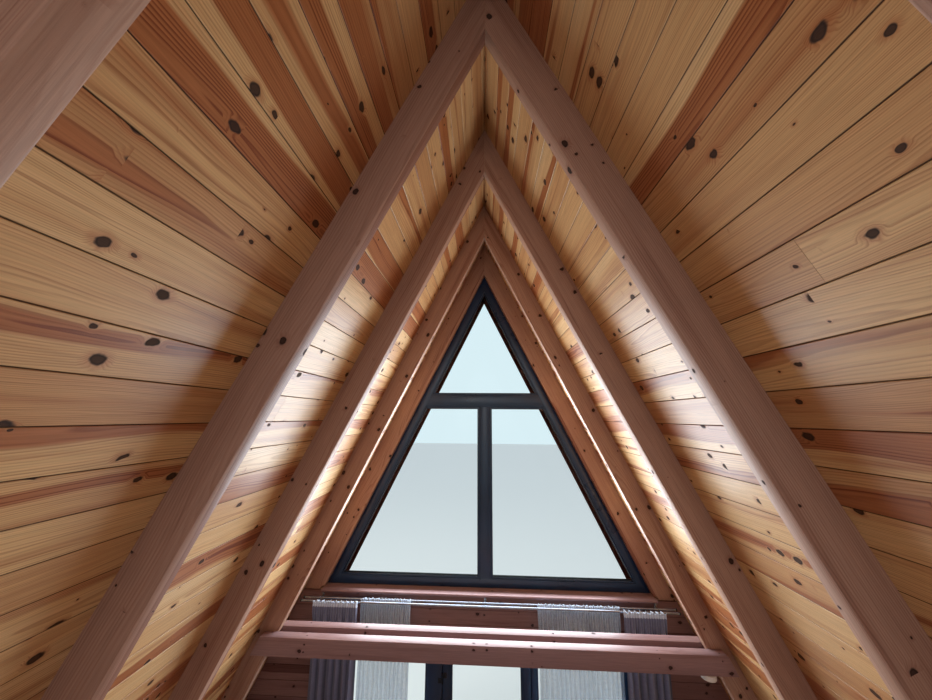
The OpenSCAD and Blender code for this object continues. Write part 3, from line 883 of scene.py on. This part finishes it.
def roof_skin(side_name):
    """Pans between standing seams, with a folded strip along both verges."""
    side = SIDES[side_name]
    batch = random.Random(60 + side)
    length = slope_down(eaves_z, skin_p) + 0.5
    middle = length / 2 - 0.4
    count = math.ceil((front_y - back_y) / SEAM_SPACING)
    spacing = (front_y - back_y - SEAM_W) / count
    seams = [back_y + SEAM_W / 2 + i * spacing for i in range(count + 1)]

    def laid(pattern, p, y):
        where = placed(slope_point(side, middle, p, y), down_slope(side), -out_of_slope(side))
        return lay(pattern, length, where, batch)

    pan, leg = pan_pattern(spacing), plank(0.004, SEAM_H, 0.0005, parts=SLOPE_PARTS)
    fold = plank(SEAM_W, 0.009, 0.002, True, parts=SLOPE_PARTS)
    verge = plank(VERGE_W, 0.0015, 0.0004, parts=SLOPE_PARTS)
    sheets = [laid(pan, skin_p, y + spacing / 2) for y in seams[:-1]]
    for y in seams:
        sheets.append(laid(leg, skin_p - SEAM_H, y))
        sheets.append(laid(fold, skin_p - SEAM_H, y))
    for y in (back_y + VERGE_W / 2, front_y - VERGE_W / 2):
        sheets.append(laid(verge, skin_p - 0.0015, y))
    throw_away(pan, leg, fold, verge)
    piece = join(side_name + "_seamed_roof", sheets)
    trim(piece, (low("right_roof_sheet").x * side, 0, 0), (-side, 0, 0))
    trim(piece, (0, 0, eaves_z), (0, 0, -1))
    hand_over(piece, roof_coating, "roof_metal", side_name + "_roof_sheet")


def ridge_cap():
    """Two wings folded at the ridge, screwed to each seam."""
    batch = random.Random(70)
    cap_low = low("ridge_cap").z
    p_in = skin_p - SEAM_H - LAY_GAP
    top, foot = -0.4, slope_down(cap_low, p_in)
    count = math.ceil((front_y - back_y) / SEAM_SPACING)
    spacing = (front_y - back_y - SEAM_W) / count
    wings = []
    for side in SIDES.values():
        pattern = plank(foot - top, CAP_T, 0.0015)
        centre = slope_point(side, (top + foot) / 2, p_in - CAP_T, (back_y + front_y) / 2)
        wing = lay(pattern, front_y - back_y, placed(centre, INTO, -out_of_slope(side)), batch)
        throw_away(pattern)
        trim(wing, (0, 0, 0), (-side, 0, 0))
        wings.append(trim(wing, (0, 0, cap_low), (0, 0, -1)))
        for i in range(count + 1):
            foot_point = slope_point(side, foot - 0.035, p_in - CAP_T, back_y + SEAM_W / 2 + i * spacing)
            wings.append(rod(foot_point, out_of_slope(side), 0.004, CAP_SCREW_R, 0.0015, 10, 1))
    hand_over(join("folded_ridge_cap", wings), roof_coating, "roof_metal", "ridge_cap")


def sloping_board(side, p_in, p_out, y0, y1, foot_z, eased, batch):
    """A board on edge that follows the slope, its face outwards along the cabin, mitred at the ridge."""
    length = slope_down(foot_z, p_out) + 0.5
    face_out = y1 > 0
    pattern = plank(p_in - p_out, y1 - y0, eased, steps=2, parts=SLOPE_PARTS)
    centre = slope_point(side, length / 2 - 0.4, (p_in + p_out) / 2, y1 if face_out else y0)
    board = lay(pattern, length, placed(centre, down_slope(side), -INTO if face_out else INTO), batch)
    throw_away(pattern)
    trim(board, (0, 0, 0), (-side, 0, 0))
    return trim(board, (0, 0, foot_z), (0, 0, -1))


def edge_boards(side_name):
    """Barge board with its cover strip at the front, and the end board on the cut end."""
    side = SIDES[side_name]
    batch = random.Random(80 + side)
    top_p = -(LINING_T + CORE_T)
    barge = [sloping_board(side, BARGE_DROP, top_p, barge_y, front_y - 0.012, eaves_z, 0.004, batch),
             sloping_board(side, top_p + 0.075, top_p, front_y - 0.012, front_y, eaves_z, 0.003, batch)]
    hand_over(join(side_name + "_barge_boards", barge), red_stain, "red_stain", side_name + "_barge_board")
    end = sloping_board(side, 0, top_p, back_y, first_y, eaves_z, 0.003, batch)
    hand_over(named(end, side_name + "_verge_board"), red_stain, "red_stain", side_name + "_end_board")


for side_name in SIDES:
    roof_skin(side_name)
    edge_boards(side_name)
ridge_cap()
for node in ("left_roof_core", "right_roof_core", "side_gable_walls", "gable_header"):
    dress(node, planed_panel)


# Level boards on both faces of the gable wall

def wall_boards(z0, z1, x0, x1, y, outside, cover, batch):
    """Level boards from z0 to z1 that reach the slopes, their faces towards the room or outside."""
    thick = 0.019
    pattern = plank(cover - BOARD_GAP, thick, 0.0026)
    boards = []
    top = z1
    while top > z0:
        centre = Vector(((x0 + x1) / 2, y + (thick if outside else 0), top - cover / 2))
        boards.append(lay(pattern, x1 - x0, placed(centre, RIGHT, -INTO if outside else INTO), batch))
        top -= cover
    throw_away(pattern)
    piece = trim(join("wall_boards", boards), (0, 0, z0), (0, 0, -1))
    return between_slopes(piece, LAY_GAP)


def gable_boards():
    batch = random.Random(17)
    wide = slope_x(base_z) + 0.1
    beside = [(screen_half, wide), (-wide, -screen_half)]
    upper = wall_boards(head_z, header_top, -wide, wide, board_y, False, 0.133, batch)
    hand_over(named(upper, "upper_wall_boards"), gable_wood, "gable_boards", "upper_inner_boards")
    sides = [wall_boards(floor_z, head_z, x0, x1, board_y, False, 0.133, batch) for x0, x1 in beside]
    hand_over(join("side_wall_boards", sides), gable_wood, "gable_boards", "side_inner_boards")
    bands = [wall_boards(z0, z1, -wide, wide, clad_y, True, 0.145, batch)
             for z0, z1 in ((head_z, header_top), (base_z, floor_z))]
    hand_over(join("cladding_band_boards", bands), red_stain, "red_stain", "cladding_bands")
    sides = [wall_boards(floor_z, head_z, x0, x1, clad_y, True, 0.145, batch) for x0, x1 in beside]
    hand_over(join("side_cladding_boards", sides), red_stain, "red_stain", "side_cladding")


gable_boards()


# Boards round the upper window

def window_boards(side_name):
    """Casing outside over the gable rafters, and the board that lines the reveal."""
    side = SIDES[side_name]
    batch = random.Random(30 + side)
    casing = sloping_board(side, GLAZE_P, LAY_GAP, clad_y, high("right_window_casing").y, sill_z, 0.003, batch)
    hand_over(named(casing, side_name + "_casing_board"), red_stain, "red_stain", side_name + "_window_casing")
    length = slope_down(sill_z, RAFTER_D) + 0.4
    pattern = plank(clad_y - gable_y, REVEAL_T, 0.003, steps=2, parts=SLOPE_PARTS)
    centre = slope_point(side, length / 2 - 0.2, GLAZE_P, (gable_y + clad_y) / 2)
    reveal = lay(pattern, length, placed(centre, down_slope(side), out_of_slope(side)), batch)
    throw_away(pattern)
    trim(reveal, (0, 0, 0), (-side, 0, 0))
    trim(reveal, (0, 0, sill_z), (0, 0, -1))
    hand_over(named(reveal, side_name + "_reveal_lining"), rafter_wood, "rafter_timber", side_name + "_reveal_board")


def sills():
    """Inner and outer sill boards with round noses."""
    batch = random.Random(33)
    lo, hi = low("window_sills"), high("window_sills")
    half_depth = (frame_out - frame_y) / 2
    boards = []
    for y, nose, depth in ((lo.y, frame_y, INTO), (hi.y, frame_y + half_depth, -INTO)):
        pattern = plank(hi.z - lo.z, abs(nose - y), 0.011, steps=4)
        where = placed(Vector((0, y, (lo.z + hi.z) / 2)), RIGHT, depth)
        boards.append(lay(pattern, hi.x - lo.x, where, batch))
        throw_away(pattern)
    hand_over(join("window_sill_boards", boards), sill_wood, "sill_board", "window_sills")


for side_name in SIDES:
    window_boards(side_name)
sills()


# Window and door profiles

FRAME_W = 0.082
TRANSOM_TOP = floor_z + 4.460
TRANSOM_H = 0.140
MULLION_W = 0.120
PANE_T = 0.024
BEAD_W = 0.016
GASKET_W = 0.020
GASKET_OUT = 0.0006
PANE_PARTS = 6
TUCK = 0.002


def surround(outline, wide, y0, y1, eased, batch, outward=False, steps=1, parts=1):
    """Members of one width inside an outline, mitred at its corners. The outline runs
    counter-clockwise as seen from inside the cabin, and each corner is (x, z)."""
    corners = [Vector((x, 0, z)) for x, z in outline]
    ways = [(b - a).normalized() for a, b in zip(corners, corners[1:] + corners[:1])]
    pattern = plank(wide, y1 - y0, eased, steps=steps, parts=parts)
    members = []
    for i, (corner, way) in enumerate(zip(corners, ways)):
        end = corners[(i + 1) % len(corners)]
        centre = (corner + end) / 2 + way.cross(INTO) * wide / 2
        centre.y = y1 if outward else y0
        face = -INTO if outward else INTO
        member = lay(pattern, (end - corner).length + 2 * wide, placed(centre, way, face), batch)
        for at, one, two, away in ((corner, ways[i - 1], way, -way), (end, way, ways[(i + 1) % len(ways)], way)):
            normal = (two - one).normalized().cross(INTO)
            if normal.dot(away) < 0:
                normal = -normal
            trim(member, at, normal)
        members.append(member)
    throw_away(pattern)
    return members


def triangle(p, z):
    return [(-slope_x(z, p), z), (slope_x(z, p), z), (0, apex_z(p))]


def oblong(x0, x1, z0, z1):
    return [(x0, z0), (x1, z0), (x1, z1), (x0, z1)]


def beads_and_gaskets(outlines, middle, reach, batch, parts=1):
    """Beads towards the room and outside, and the dark gasket beside each pane."""
    beads, gaskets = [], []
    near, far = middle - PANE_T / 2, middle + PANE_T / 2
    for outline in outlines:
        beads += surround(outline, BEAD_W, middle - reach, near + TUCK / 2, 0.003, batch, parts=parts)
        beads += surround(outline, BEAD_W, far - TUCK / 2, middle + reach, 0.003, batch, outward=True, parts=parts)
        gaskets += surround(outline, GASKET_W, near - GASKET_OUT, far + GASKET_OUT, 0.0005, batch, parts=parts)
    return beads, gaskets


def upper_window():
    batch = random.Random(3)
    outline = triangle(GLAZE_P, sill_z)
    members = surround(outline, FRAME_W, frame_y, frame_out, 0.004, batch, steps=2, parts=PANE_PARTS)
    p = GLAZE_P + FRAME_W
    rail_low = TRANSOM_TOP - TRANSOM_H
    wide = slope_x(rail_low, p - TUCK)
    transom = bar((-wide, frame_y + 0.0006, rail_low), (wide, frame_out - 0.0006, TRANSOM_TOP), 0.004, batch)
    members.append(between_slopes(transom, p - TUCK))
    half = MULLION_W / 2
    sash = sill_z + FRAME_W
    members.append(bar((-half, frame_y + 0.0012, sash - TUCK), (half, frame_out - 0.0012, rail_low + TUCK), 0.004, batch))
    right_pane = [(half, sash), (slope_x(sash, p), sash), (slope_x(rail_low, p), rail_low), (half, rail_low)]
    left_pane = [(-x, z) for x, z in reversed(right_pane)]
    panes = [triangle(p, TRANSOM_TOP), left_pane, right_pane]
    beads, gaskets = beads_and_gaskets(panes, (frame_y + frame_out) / 2, 0.031, batch, PANE_PARTS)
    hand_over(join("upper_window_profile", members + beads), window_profile, "dark_frame", "window_frame")
    hand_over(join("upper_window_gasket", gaskets), rubber, "dark_frame")
    dress("window_glass", clear_glazing)


LEAF_W = 0.850
LEAF_GAP = 0.005
HINGE_POST_W = 0.150
LOCK_POST_W = 0.050
STOP = 0.015
leaf_x1 = high("door_leaf").x
leaf_x0 = leaf_x1 - LEAF_W
leaf_z0, leaf_z1 = low("door_leaf").z, high("door_leaf").z
leaf_out = high("door_leaf").y
door_x0, door_x1 = leaf_x0 - LEAF_GAP, leaf_x1 + LEAF_GAP
door_z0, door_z1 = leaf_z0 - LEAF_GAP, leaf_z1 + LEAF_GAP


def lower_window():
    """Fixed frame of the lower glazing: stiles, head, posts, bottom rails and the door's stops."""
    batch = random.Random(8)
    half, foot = screen_half, floor_z + FRAME_W
    y0, y1 = frame_y, frame_out
    head = head_z - FRAME_W
    members = [
        bar((-half, y0, floor_z), (-half + FRAME_W, y1, head_z), 0.004, batch, True),
        bar((half - FRAME_W, y0, floor_z), (half, y1, head_z), 0.004, batch, True),
        bar((-half + FRAME_W - TUCK, y0 + 0.0005, head), (half - FRAME_W + TUCK, y1 - 0.0005, head_z), 0.004, batch, True),
        bar((door_x0 - HINGE_POST_W, y0 + 0.001, floor_z), (door_x0, y1 - 0.001, head + TUCK), 0.004, batch, True),
        bar((door_x1, y0 + 0.001, floor_z), (door_x1 + LOCK_POST_W, y1 - 0.001, head + TUCK), 0.004, batch, True),
        bar((door_x0 - TUCK, y1 - STOP, door_z0), (door_x0 + STOP, y1 - 0.001, door_z1), 0.002, batch),
        bar((door_x1 - STOP, y1 - STOP, door_z0), (door_x1 + TUCK, y1 - 0.001, door_z1), 0.002, batch),
        bar((door_x0, y1 - STOP, door_z1 - STOP), (door_x1, y1 - 0.0015, door_z1 + TUCK), 0.002, batch)]
    panes = []
    for x0, x1 in ((-half + FRAME_W, door_x0 - HINGE_POST_W), (door_x1 + LOCK_POST_W, half - FRAME_W)):
        members.append(bar((x0 - TUCK, y0 + 0.0015, floor_z), (x1 + TUCK, y1 - 0.0015, foot), 0.004, batch, True))
        panes.append(oblong(x0, x1, foot, head))
    beads, gaskets = beads_and_gaskets(panes, (y0 + y1) / 2, 0.031, batch)
    hand_over(join("lower_window_profile", members + beads), window_profile, "dark_frame", "screen_frame")
    hand_over(join("lower_window_gasket", gaskets), rubber, "dark_frame")
    threshold = bar((door_x0 - TUCK, y0, floor_z), (door_x1 + TUCK, y1, door_z0 - 0.0005), 0.003, batch, True)
    hand_over(named(threshold, "door_threshold"), brushed_alloy, "handle_metal")
    dress("side_glass", clear_glazing)


# Hinges: the upper half of each turns with the leaf, the lower half stays on its post

KNUCKLE_R = 0.008
KNUCKLE_H = 0.045
HINGE_GAP = 0.0003
HINGE_PLATE = 0.042
HINGE_PLATE_T = 0.004
hinge_x = door_x0 + LEAF_GAP / 2
hinge_y = low("frame_hinges").y + KNUCKLE_R
first_hinge = low("frame_hinges").z + KNUCKLE_H + HINGE_GAP
last_hinge = door_z1 - 0.250 - KNUCKLE_H
hinge_zs = [first_hinge, (door_z0 + door_z1) / 2, last_hinge]


def hinge_half(z, side):
    """A plate with two screws on the face of the post or leaf, and its knuckle."""
    x0, x1 = sorted((hinge_x, hinge_x + side * HINGE_PLATE))
    plate = block("hinge_plate", (x0, frame_y - HINGE_PLATE_T, z), (x1, frame_y, z + KNUCKLE_H))
    ease(plate, 0.001, lambda mid, way: mid.y < frame_y - HINGE_PLATE_T / 2)
    parts = [done(plate), rod((hinge_x, hinge_y, z), UP, KNUCKLE_H, KNUCKLE_R, 0.001)]
    for up in (0.011, KNUCKLE_H - 0.011):
        place = (hinge_x + side * 0.027, frame_y - HINGE_PLATE_T - 0.0012, z + up)
        parts.append(rod(place, INTO, 0.002, 0.004, 0.0006, 12, 1))
    return parts


def door():
    batch = random.Random(14)
    pane_lo, pane_hi = low("door_glass"), high("door_glass")
    y0, y1 = frame_y, leaf_out
    members = [
        bar((leaf_x0, y0, leaf_z0), (pane_lo.x, y1, leaf_z1), 0.004, batch, True),
        bar((pane_hi.x, y0, leaf_z0), (leaf_x1, y1, leaf_z1), 0.004, batch, True),
        bar((pane_lo.x - TUCK, y0 + 0.0006, leaf_z0), (pane_hi.x + TUCK, y1 - 0.0006, pane_lo.z), 0.004, batch, True),
        bar((pane_lo.x - TUCK, y0 + 0.0006, pane_hi.z), (pane_hi.x + TUCK, y1 - 0.0006, leaf_z1), 0.004, batch, True)]
    pane = oblong(pane_lo.x, pane_hi.x, pane_lo.z, pane_hi.z)
    beads, gaskets = beads_and_gaskets([pane], (y0 + y1) / 2, 0.021, batch)
    hand_over(join("door_leaf_profile", members + beads), window_profile, "dark_frame", "door_leaf", body="door")
    hand_over(join("door_leaf_gasket", gaskets), rubber, "dark_frame", body="door")
    leaf_halves = sum([hinge_half(z, 1) for z in hinge_zs], [])
    hand_over(join("leaf_hinge_halves", leaf_halves), hinge_black, "hinge_metal", body="door")
    post_halves = sum([hinge_half(z - KNUCKLE_H - HINGE_GAP, -1) for z in hinge_zs], [])
    hand_over(join("post_hinge_halves", post_halves), hinge_black, "hinge_metal", "frame_hinges")
    dress("door_glass", clear_glazing)


PLATE_W, PLATE_T, PLATE_H = 0.032, 0.008, 0.220
NECK_R = 0.011
LEVER_R = 0.008
LEVER_LEN = 0.120
LEVER_OUT = 0.050


def handles():
    """A long plate, neck and lever on each face, with the lock cylinder under the lever."""
    lo, hi = low("door_handles"), high("door_handles")
    x, z = hi.x - PLATE_W / 2, (lo.z + hi.z) / 2
    parts = []
    for face, side in ((frame_y, -1), (leaf_out, 1)):
        way = INTO * side
        ys = sorted((face, face + side * PLATE_T))
        parts.append(rounded_plate((x - PLATE_W / 2, ys[0], z - PLATE_H / 2), (x + PLATE_W / 2, ys[1], z + PLATE_H / 2),
                                   0.013, 0.0015))
        parts.append(rod((x, face, z), way, LEVER_OUT, NECK_R, 0.003, 24, 3))
        parts.append(rod((x - LEVER_LEN, face + side * (LEVER_OUT - NECK_R), z), RIGHT, LEVER_LEN, LEVER_R, 0.006, 24, 4))
        parts.append(rod((x, face, z - 0.072), way, PLATE_T + 0.003, 0.0085, 0.0008, 20, 1))
        for up in (-0.098, 0.098):
            parts.append(rod((x, face, z + up), way, PLATE_T + 0.001, 0.0035, 0.0005, 12, 1))
    hand_over(join("lever_handles", parts), brushed_alloy, "handle_metal", "door_handles", body="door")


upper_window()
lower_window()
door()
handles()


# Curtain rails on their brackets

RAIL_R = 0.009
CAP_LEN = 0.014
CAP_R = 0.012
BRACKET_W = 0.012
BRACKET_PLATE = 0.060
BRACKET_INSET = 0.160
BRACKET_ARM = 0.005
SEAT = 0.0003
rail_half = high("curtain_rails").x
near_rail_y = low("curtain_rails").y + CAP_R
far_rail_y = near_rail_y + 0.060
rail_z = high("curtain_rails").z - CAP_R


def rails():
    tubes, caps, brackets = [], [], []
    inner = rail_half - CAP_LEN
    for y in (near_rail_y, far_rail_y):
        tubes.append(rod((-inner, y, rail_z), RIGHT, 2 * inner, RAIL_R, 0.0005, 32, 1))
        for x in (-rail_half, inner):
            caps.append(rod((x, y, rail_z), RIGHT, CAP_LEN, CAP_R, 0.003, 24, 3))
    arm_z = rail_z - RAIL_R - SEAT
    for x in (-rail_half + BRACKET_INSET, 0, rail_half - BRACKET_INSET):
        brackets.append(rounded_plate((x - BRACKET_W, board_y - 0.005, arm_z - BRACKET_PLATE / 2),
                                      (x + BRACKET_W, board_y, arm_z + BRACKET_PLATE / 2), 0.011, 0.0015))
        arm = block("arm", (x - BRACKET_W / 2, near_rail_y - RAIL_R, arm_z - BRACKET_ARM), (x + BRACKET_W / 2, board_y, arm_z))
        ease(arm, 0.0012, lambda mid, way: abs(way.y) > 0.9 or mid.y < near_rail_y)
        brackets.append(done(arm))
        for y in (near_rail_y, far_rail_y):
            brackets.append(rod((x - BRACKET_W / 2, y, rail_z), RIGHT, BRACKET_W, RAIL_R + 0.002, 0.0008, 24, 1))
        for up in (-0.022, 0.022):
            brackets.append(rod((x, board_y - 0.0065, arm_z + up), INTO, 0.003, 0.0035, 0.0005, 12, 1))
    hand_over(join("rail_tubes", tubes), chrome, "rail_chrome", "curtain_rails")
    hand_over(join("rail_end_caps", caps), cap_black, "rail_chrome")
    hand_over(join("rail_brackets", brackets), chrome, "rail_chrome")


rails()


# Curtains: gathered cloth with a white heading tape

TAPE_H = 0.057
CLOTH_T = 0.0012


def curtain_shape(rng, width, fold, depth, pleat, pleat_depth):
    """Folds of a gathered curtain, as a function of the place along its heading and of its height."""
    phases = [rng.uniform(0, 2 * math.pi) for _ in range(6)]
    folds = max(2, round(width / fold))
    pleats = max(4, round(width / pleat))

    def shape(u, down):
        """Sideways and depth offsets at u from 0 to 1 across, and a depth in metres below the top edge."""
        gathered = 1 / (1 + math.exp(-(down - 0.17) / 0.035))
        loose = min(1.0, down / 2.4)
        bend = 0.35 * math.sin(2 * math.pi * u * 1.3 + phases[0]) + 0.18 * math.sin(2 * math.pi * u * 3.1 + phases[1])
        turn = 2 * math.pi * folds * u + phases[2] + bend * 2.0 + 0.35 * loose * math.sin(4 * u + phases[3] + 1.3 * down)
        tight = 2 * math.pi * pleats * u + phases[4] + 0.8 * math.sin(9 * u + phases[5])
        swing = math.sin(turn) + 0.20 * math.sin(2 * turn + 0.7)
        back = gathered * depth * (0.72 + 0.12 * loose) * swing
        pinched = 0.55 if abs(down - 0.028) < 0.006 else 1.0
        back += (1 - 0.85 * gathered) * pinched * pleat_depth * (1 - 2 * abs(math.sin(tight / 2)))
        across = gathered * fold * 0.11 * math.sin(2 * turn)
        across -= (1 - gathered) * pleat * 0.12 * math.sin(2 * tight)
        wave = math.sin(turn * 1.3 + phases[1]) + 0.7 * math.sin(tight * 0.5 + phases[0])
        lift = -0.006 * (1.6 - wave) * max(0.0, 1 - down / 0.05)
        return across, back, lift

    return shape


def curtain(name, node, rail, fold, depth, pleat, pleat_depth, seed, fabric, tape, threads_slot):
    """A drawn curtain that fills the space of its solid, from a grid bent into folds."""
    rng = random.Random(seed)
    lo, hi = low(node), high(node)
    margin = 0.006
    width, drop = hi.x - lo.x - 2 * margin, hi.z - lo.z - 0.004
    shape = curtain_shape(rng, width, fold, depth, pleat, pleat_depth)
    columns = round(width / 0.0023)
    rows = [0.0, 0.008, 0.018, 0.026, 0.030, 0.038, 0.048, TAPE_H, 0.070, 0.085, 0.10, 0.12, 0.14, 0.17, 0.21, 0.27]
    rows += [0.27 + (drop - 0.27) * (i + 1) / 18 for i in range(18)]
    bpy.ops.object.select_all(action="DESELECT")
    bpy.ops.mesh.primitive_grid_add(x_subdivisions=columns, y_subdivisions=len(rows) - 1, size=1)
    piece = named(bpy.context.object, name)
    mesh = piece.data
    middle_y = (lo.y + hi.y) / 2
    crest = mesh.attributes.new("fold", "FLOAT", "POINT")
    for vertex in mesh.vertices:
        u = vertex.co.x + 0.5
        row = len(rows) - 1 - round((vertex.co.y + 0.5) * (len(rows) - 1))
        down = rows[row]
        across, back, lift = shape(u, down)
        # The fold attribute is 1 on the crests and 0 in the valleys; the cloth paints shade into the valleys from it
        crest.data[vertex.index].value = 0.5 - 0.5 * back / depth
        vertex.co = (lo.x + margin + u * width + across, middle_y + back, hi.z - 0.004 - down + lift)
    for face in mesh.polygons:
        face.material_index = 0 if face.center.z < hi.z - 0.004 - TAPE_H else 1
        face.use_smooth = True
    mesh.materials.append(fabric)
    mesh.materials.append(tape)
    select_only(piece)
    thicken = piece.modifiers.new("cloth_thickness", "SOLIDIFY")
    thicken.thickness, thicken.offset = CLOTH_T, 0.0
    bpy.ops.object.modifier_apply(modifier=thicken.name)
    hand_over(piece, None, threads_slot, node)


drape_cloth = cloth("drape_cloth", tone(136, 144, 176), tone(114, 122, 154), (0.8, 2.48), 900.0, 1.0, 0.25, 0.3)
net_cloth = cloth("net_cloth", tone(218, 240, 255), tone(198, 226, 250), (0.9, 2.48), 700.0, 0.32, 0.3, 0.6)
white_tape = cloth("white_tape", tone(226, 240, 255), tone(204, 220, 244), (0.8, 2.48), 500.0, 1.0, 0.2, 0.5)
net_tape = cloth("net_tape", tone(226, 242, 255), tone(206, 226, 248), (0.9, 2.48), 500.0, 0.85, 0.2, 0.5)

curtain("left_gathered_drape", "left_drape", near_rail_y, 0.066, 0.026, 0.024, 0.016, 201, drape_cloth, white_tape, "drape_cloth")
curtain("right_gathered_drape", "right_drape", near_rail_y, 0.062, 0.026, 0.024, 0.016, 202, drape_cloth, white_tape, "drape_cloth")
curtain("left_gathered_net", "left_net_curtain", far_rail_y, 0.040, 0.012, 0.022, 0.011, 203, net_cloth, net_tape, "net_cloth")
curtain("right_gathered_net", "right_net_curtain", far_rail_y, 0.042, 0.012, 0.022, 0.011, 204, net_cloth, net_tape, "net_cloth")


# Spot light under the tie

def spot_light():
    """A white ring with a recessed dark lens."""
    lo, hi = low("spot_light"), high("spot_light")
    centre = (lo + hi) / 2
    radius = (hi.x - lo.x) / 2
    ring = rod((centre.x, centre.y, hi.z), -UP, hi.z - lo.z, radius, 0.004, 40, 3)
    bpy.ops.object.mode_set(mode="EDIT")
    choose(ring, "faces", lambda mid, way: way.z < -0.9 and (mid - centre).xy.length < radius / 2)
    bpy.ops.mesh.inset(thickness=0.007)
    bpy.ops.mesh.extrude_region_move(TRANSFORM_OT_translate={"value": (0, 0, 0.012)})
    bpy.ops.transform.resize(value=(0.86, 0.86, 1), center_override=centre)
    done(ring)
    hand_over(named(ring, "spot_light_ring"), lamp_white, "light_white", "spot_light")
    lens = rod((centre.x, centre.y, lo.z + 0.012), -UP, 0.005, 0.030, 0.003, 32, 3)
    hand_over(named(lens, "spot_light_lens"), lamp_lens, "light_white")


spot_light()


# Light, floor and sky

SKY = tone(232, 244, 249)


def set_stage():
    bpy.ops.object.select_all(action="DESELECT")
    bpy.ops.mesh.primitive_plane_add(size=120)
    floor = named(bpy.context.object, "studio_floor")
    material, tree, shader = new_material("studio_floor")
    shader.inputs["Base Color"].default_value = tone(246, 242, 232)
    shader.inputs["Roughness"].default_value = 0.9
    floor.data.materials.append(material)


def set_sky():
    """Soft light that is stronger from the glazed front, and a pale background for the eye."""
    world = bpy.data.worlds.new("studio_sky")
    bpy.context.scene.world = world
    world.use_nodes = True
    tree = world.node_tree
    way = add(tree, "SeparateXYZ", Vector=add(tree, "TexCoord").outputs["Generated"]).outputs
    front = step(tree, way["Y"], -0.7, 0.7)
    soft = mix(tree, front, (0.40, 0.38, 0.43, 1.0), (0.95, 1.06, 1.22, 1.0))
    lit = tree.nodes["Background"]
    feed(tree, lit.inputs["Color"], soft)
    seen = add(tree, "Background", Color=SKY, Strength=1.0)
    path = add(tree, "LightPath").outputs
    looked_at = calc(tree, "MAXIMUM", path["Is Camera Ray"], path["Is Transmission Ray"])
    looked_at = calc(tree, "MAXIMUM", looked_at, path["Is Glossy Ray"])
    both = tree.nodes.new("ShaderNodeMixShader")
    feed(tree, both.inputs[0], looked_at)
    feed(tree, both.inputs[1], lit.outputs[0])
    feed(tree, both.inputs[2], seen.outputs[0])
    feed(tree, tree.nodes["World Output"].inputs["Surface"], both.outputs[0])


def soft_lamp(name, place, target, size, power, tint):
    bpy.ops.object.light_add(type="AREA", location=place)
    lamp = bpy.context.object
    lamp.name = name
    lamp.data.shape = "RECTANGLE"
    lamp.data.size, lamp.data.size_y = size
    lamp.data.energy = power
    lamp.data.color = tint
    lamp.rotation_euler = (Vector(target) - Vector(place)).to_track_quat("-Z", "Y").to_euler()
    lamp.visible_camera = lamp.visible_transmission = False


set_stage()
set_sky()
DAYLIGHT = (0.84, 0.93, 1.0)
pane_y = gable_y - 0.01
soft_lamp("window_light", (0, pane_y, 3.40), (0, 0, 3.4), (2.5, 0.9), 82, DAYLIGHT)
soft_lamp("top_window_light", (0, pane_y, 4.35), (0, 0, 4.35), (1.5, 1.0), 54, DAYLIGHT)
soft_lamp("lower_window_light", (0, pane_y + 0.03, 1.4), (0, 0, 1.4), (2.6, 1.9), 14, DAYLIGHT)
soft_lamp("back_light", (0, back_y - 0.8, 5.0), (0, 1.0, 4.6), (1.6, 1.6), 18, (1.0, 0.94, 0.98))
soft_lamp("studio_light", (-8, -2, 13), (0, 0, 2), (7, 7), 1000, (1.0, 0.98, 0.95))

bpy.context.scene.view_settings.view_transform = "Standard"
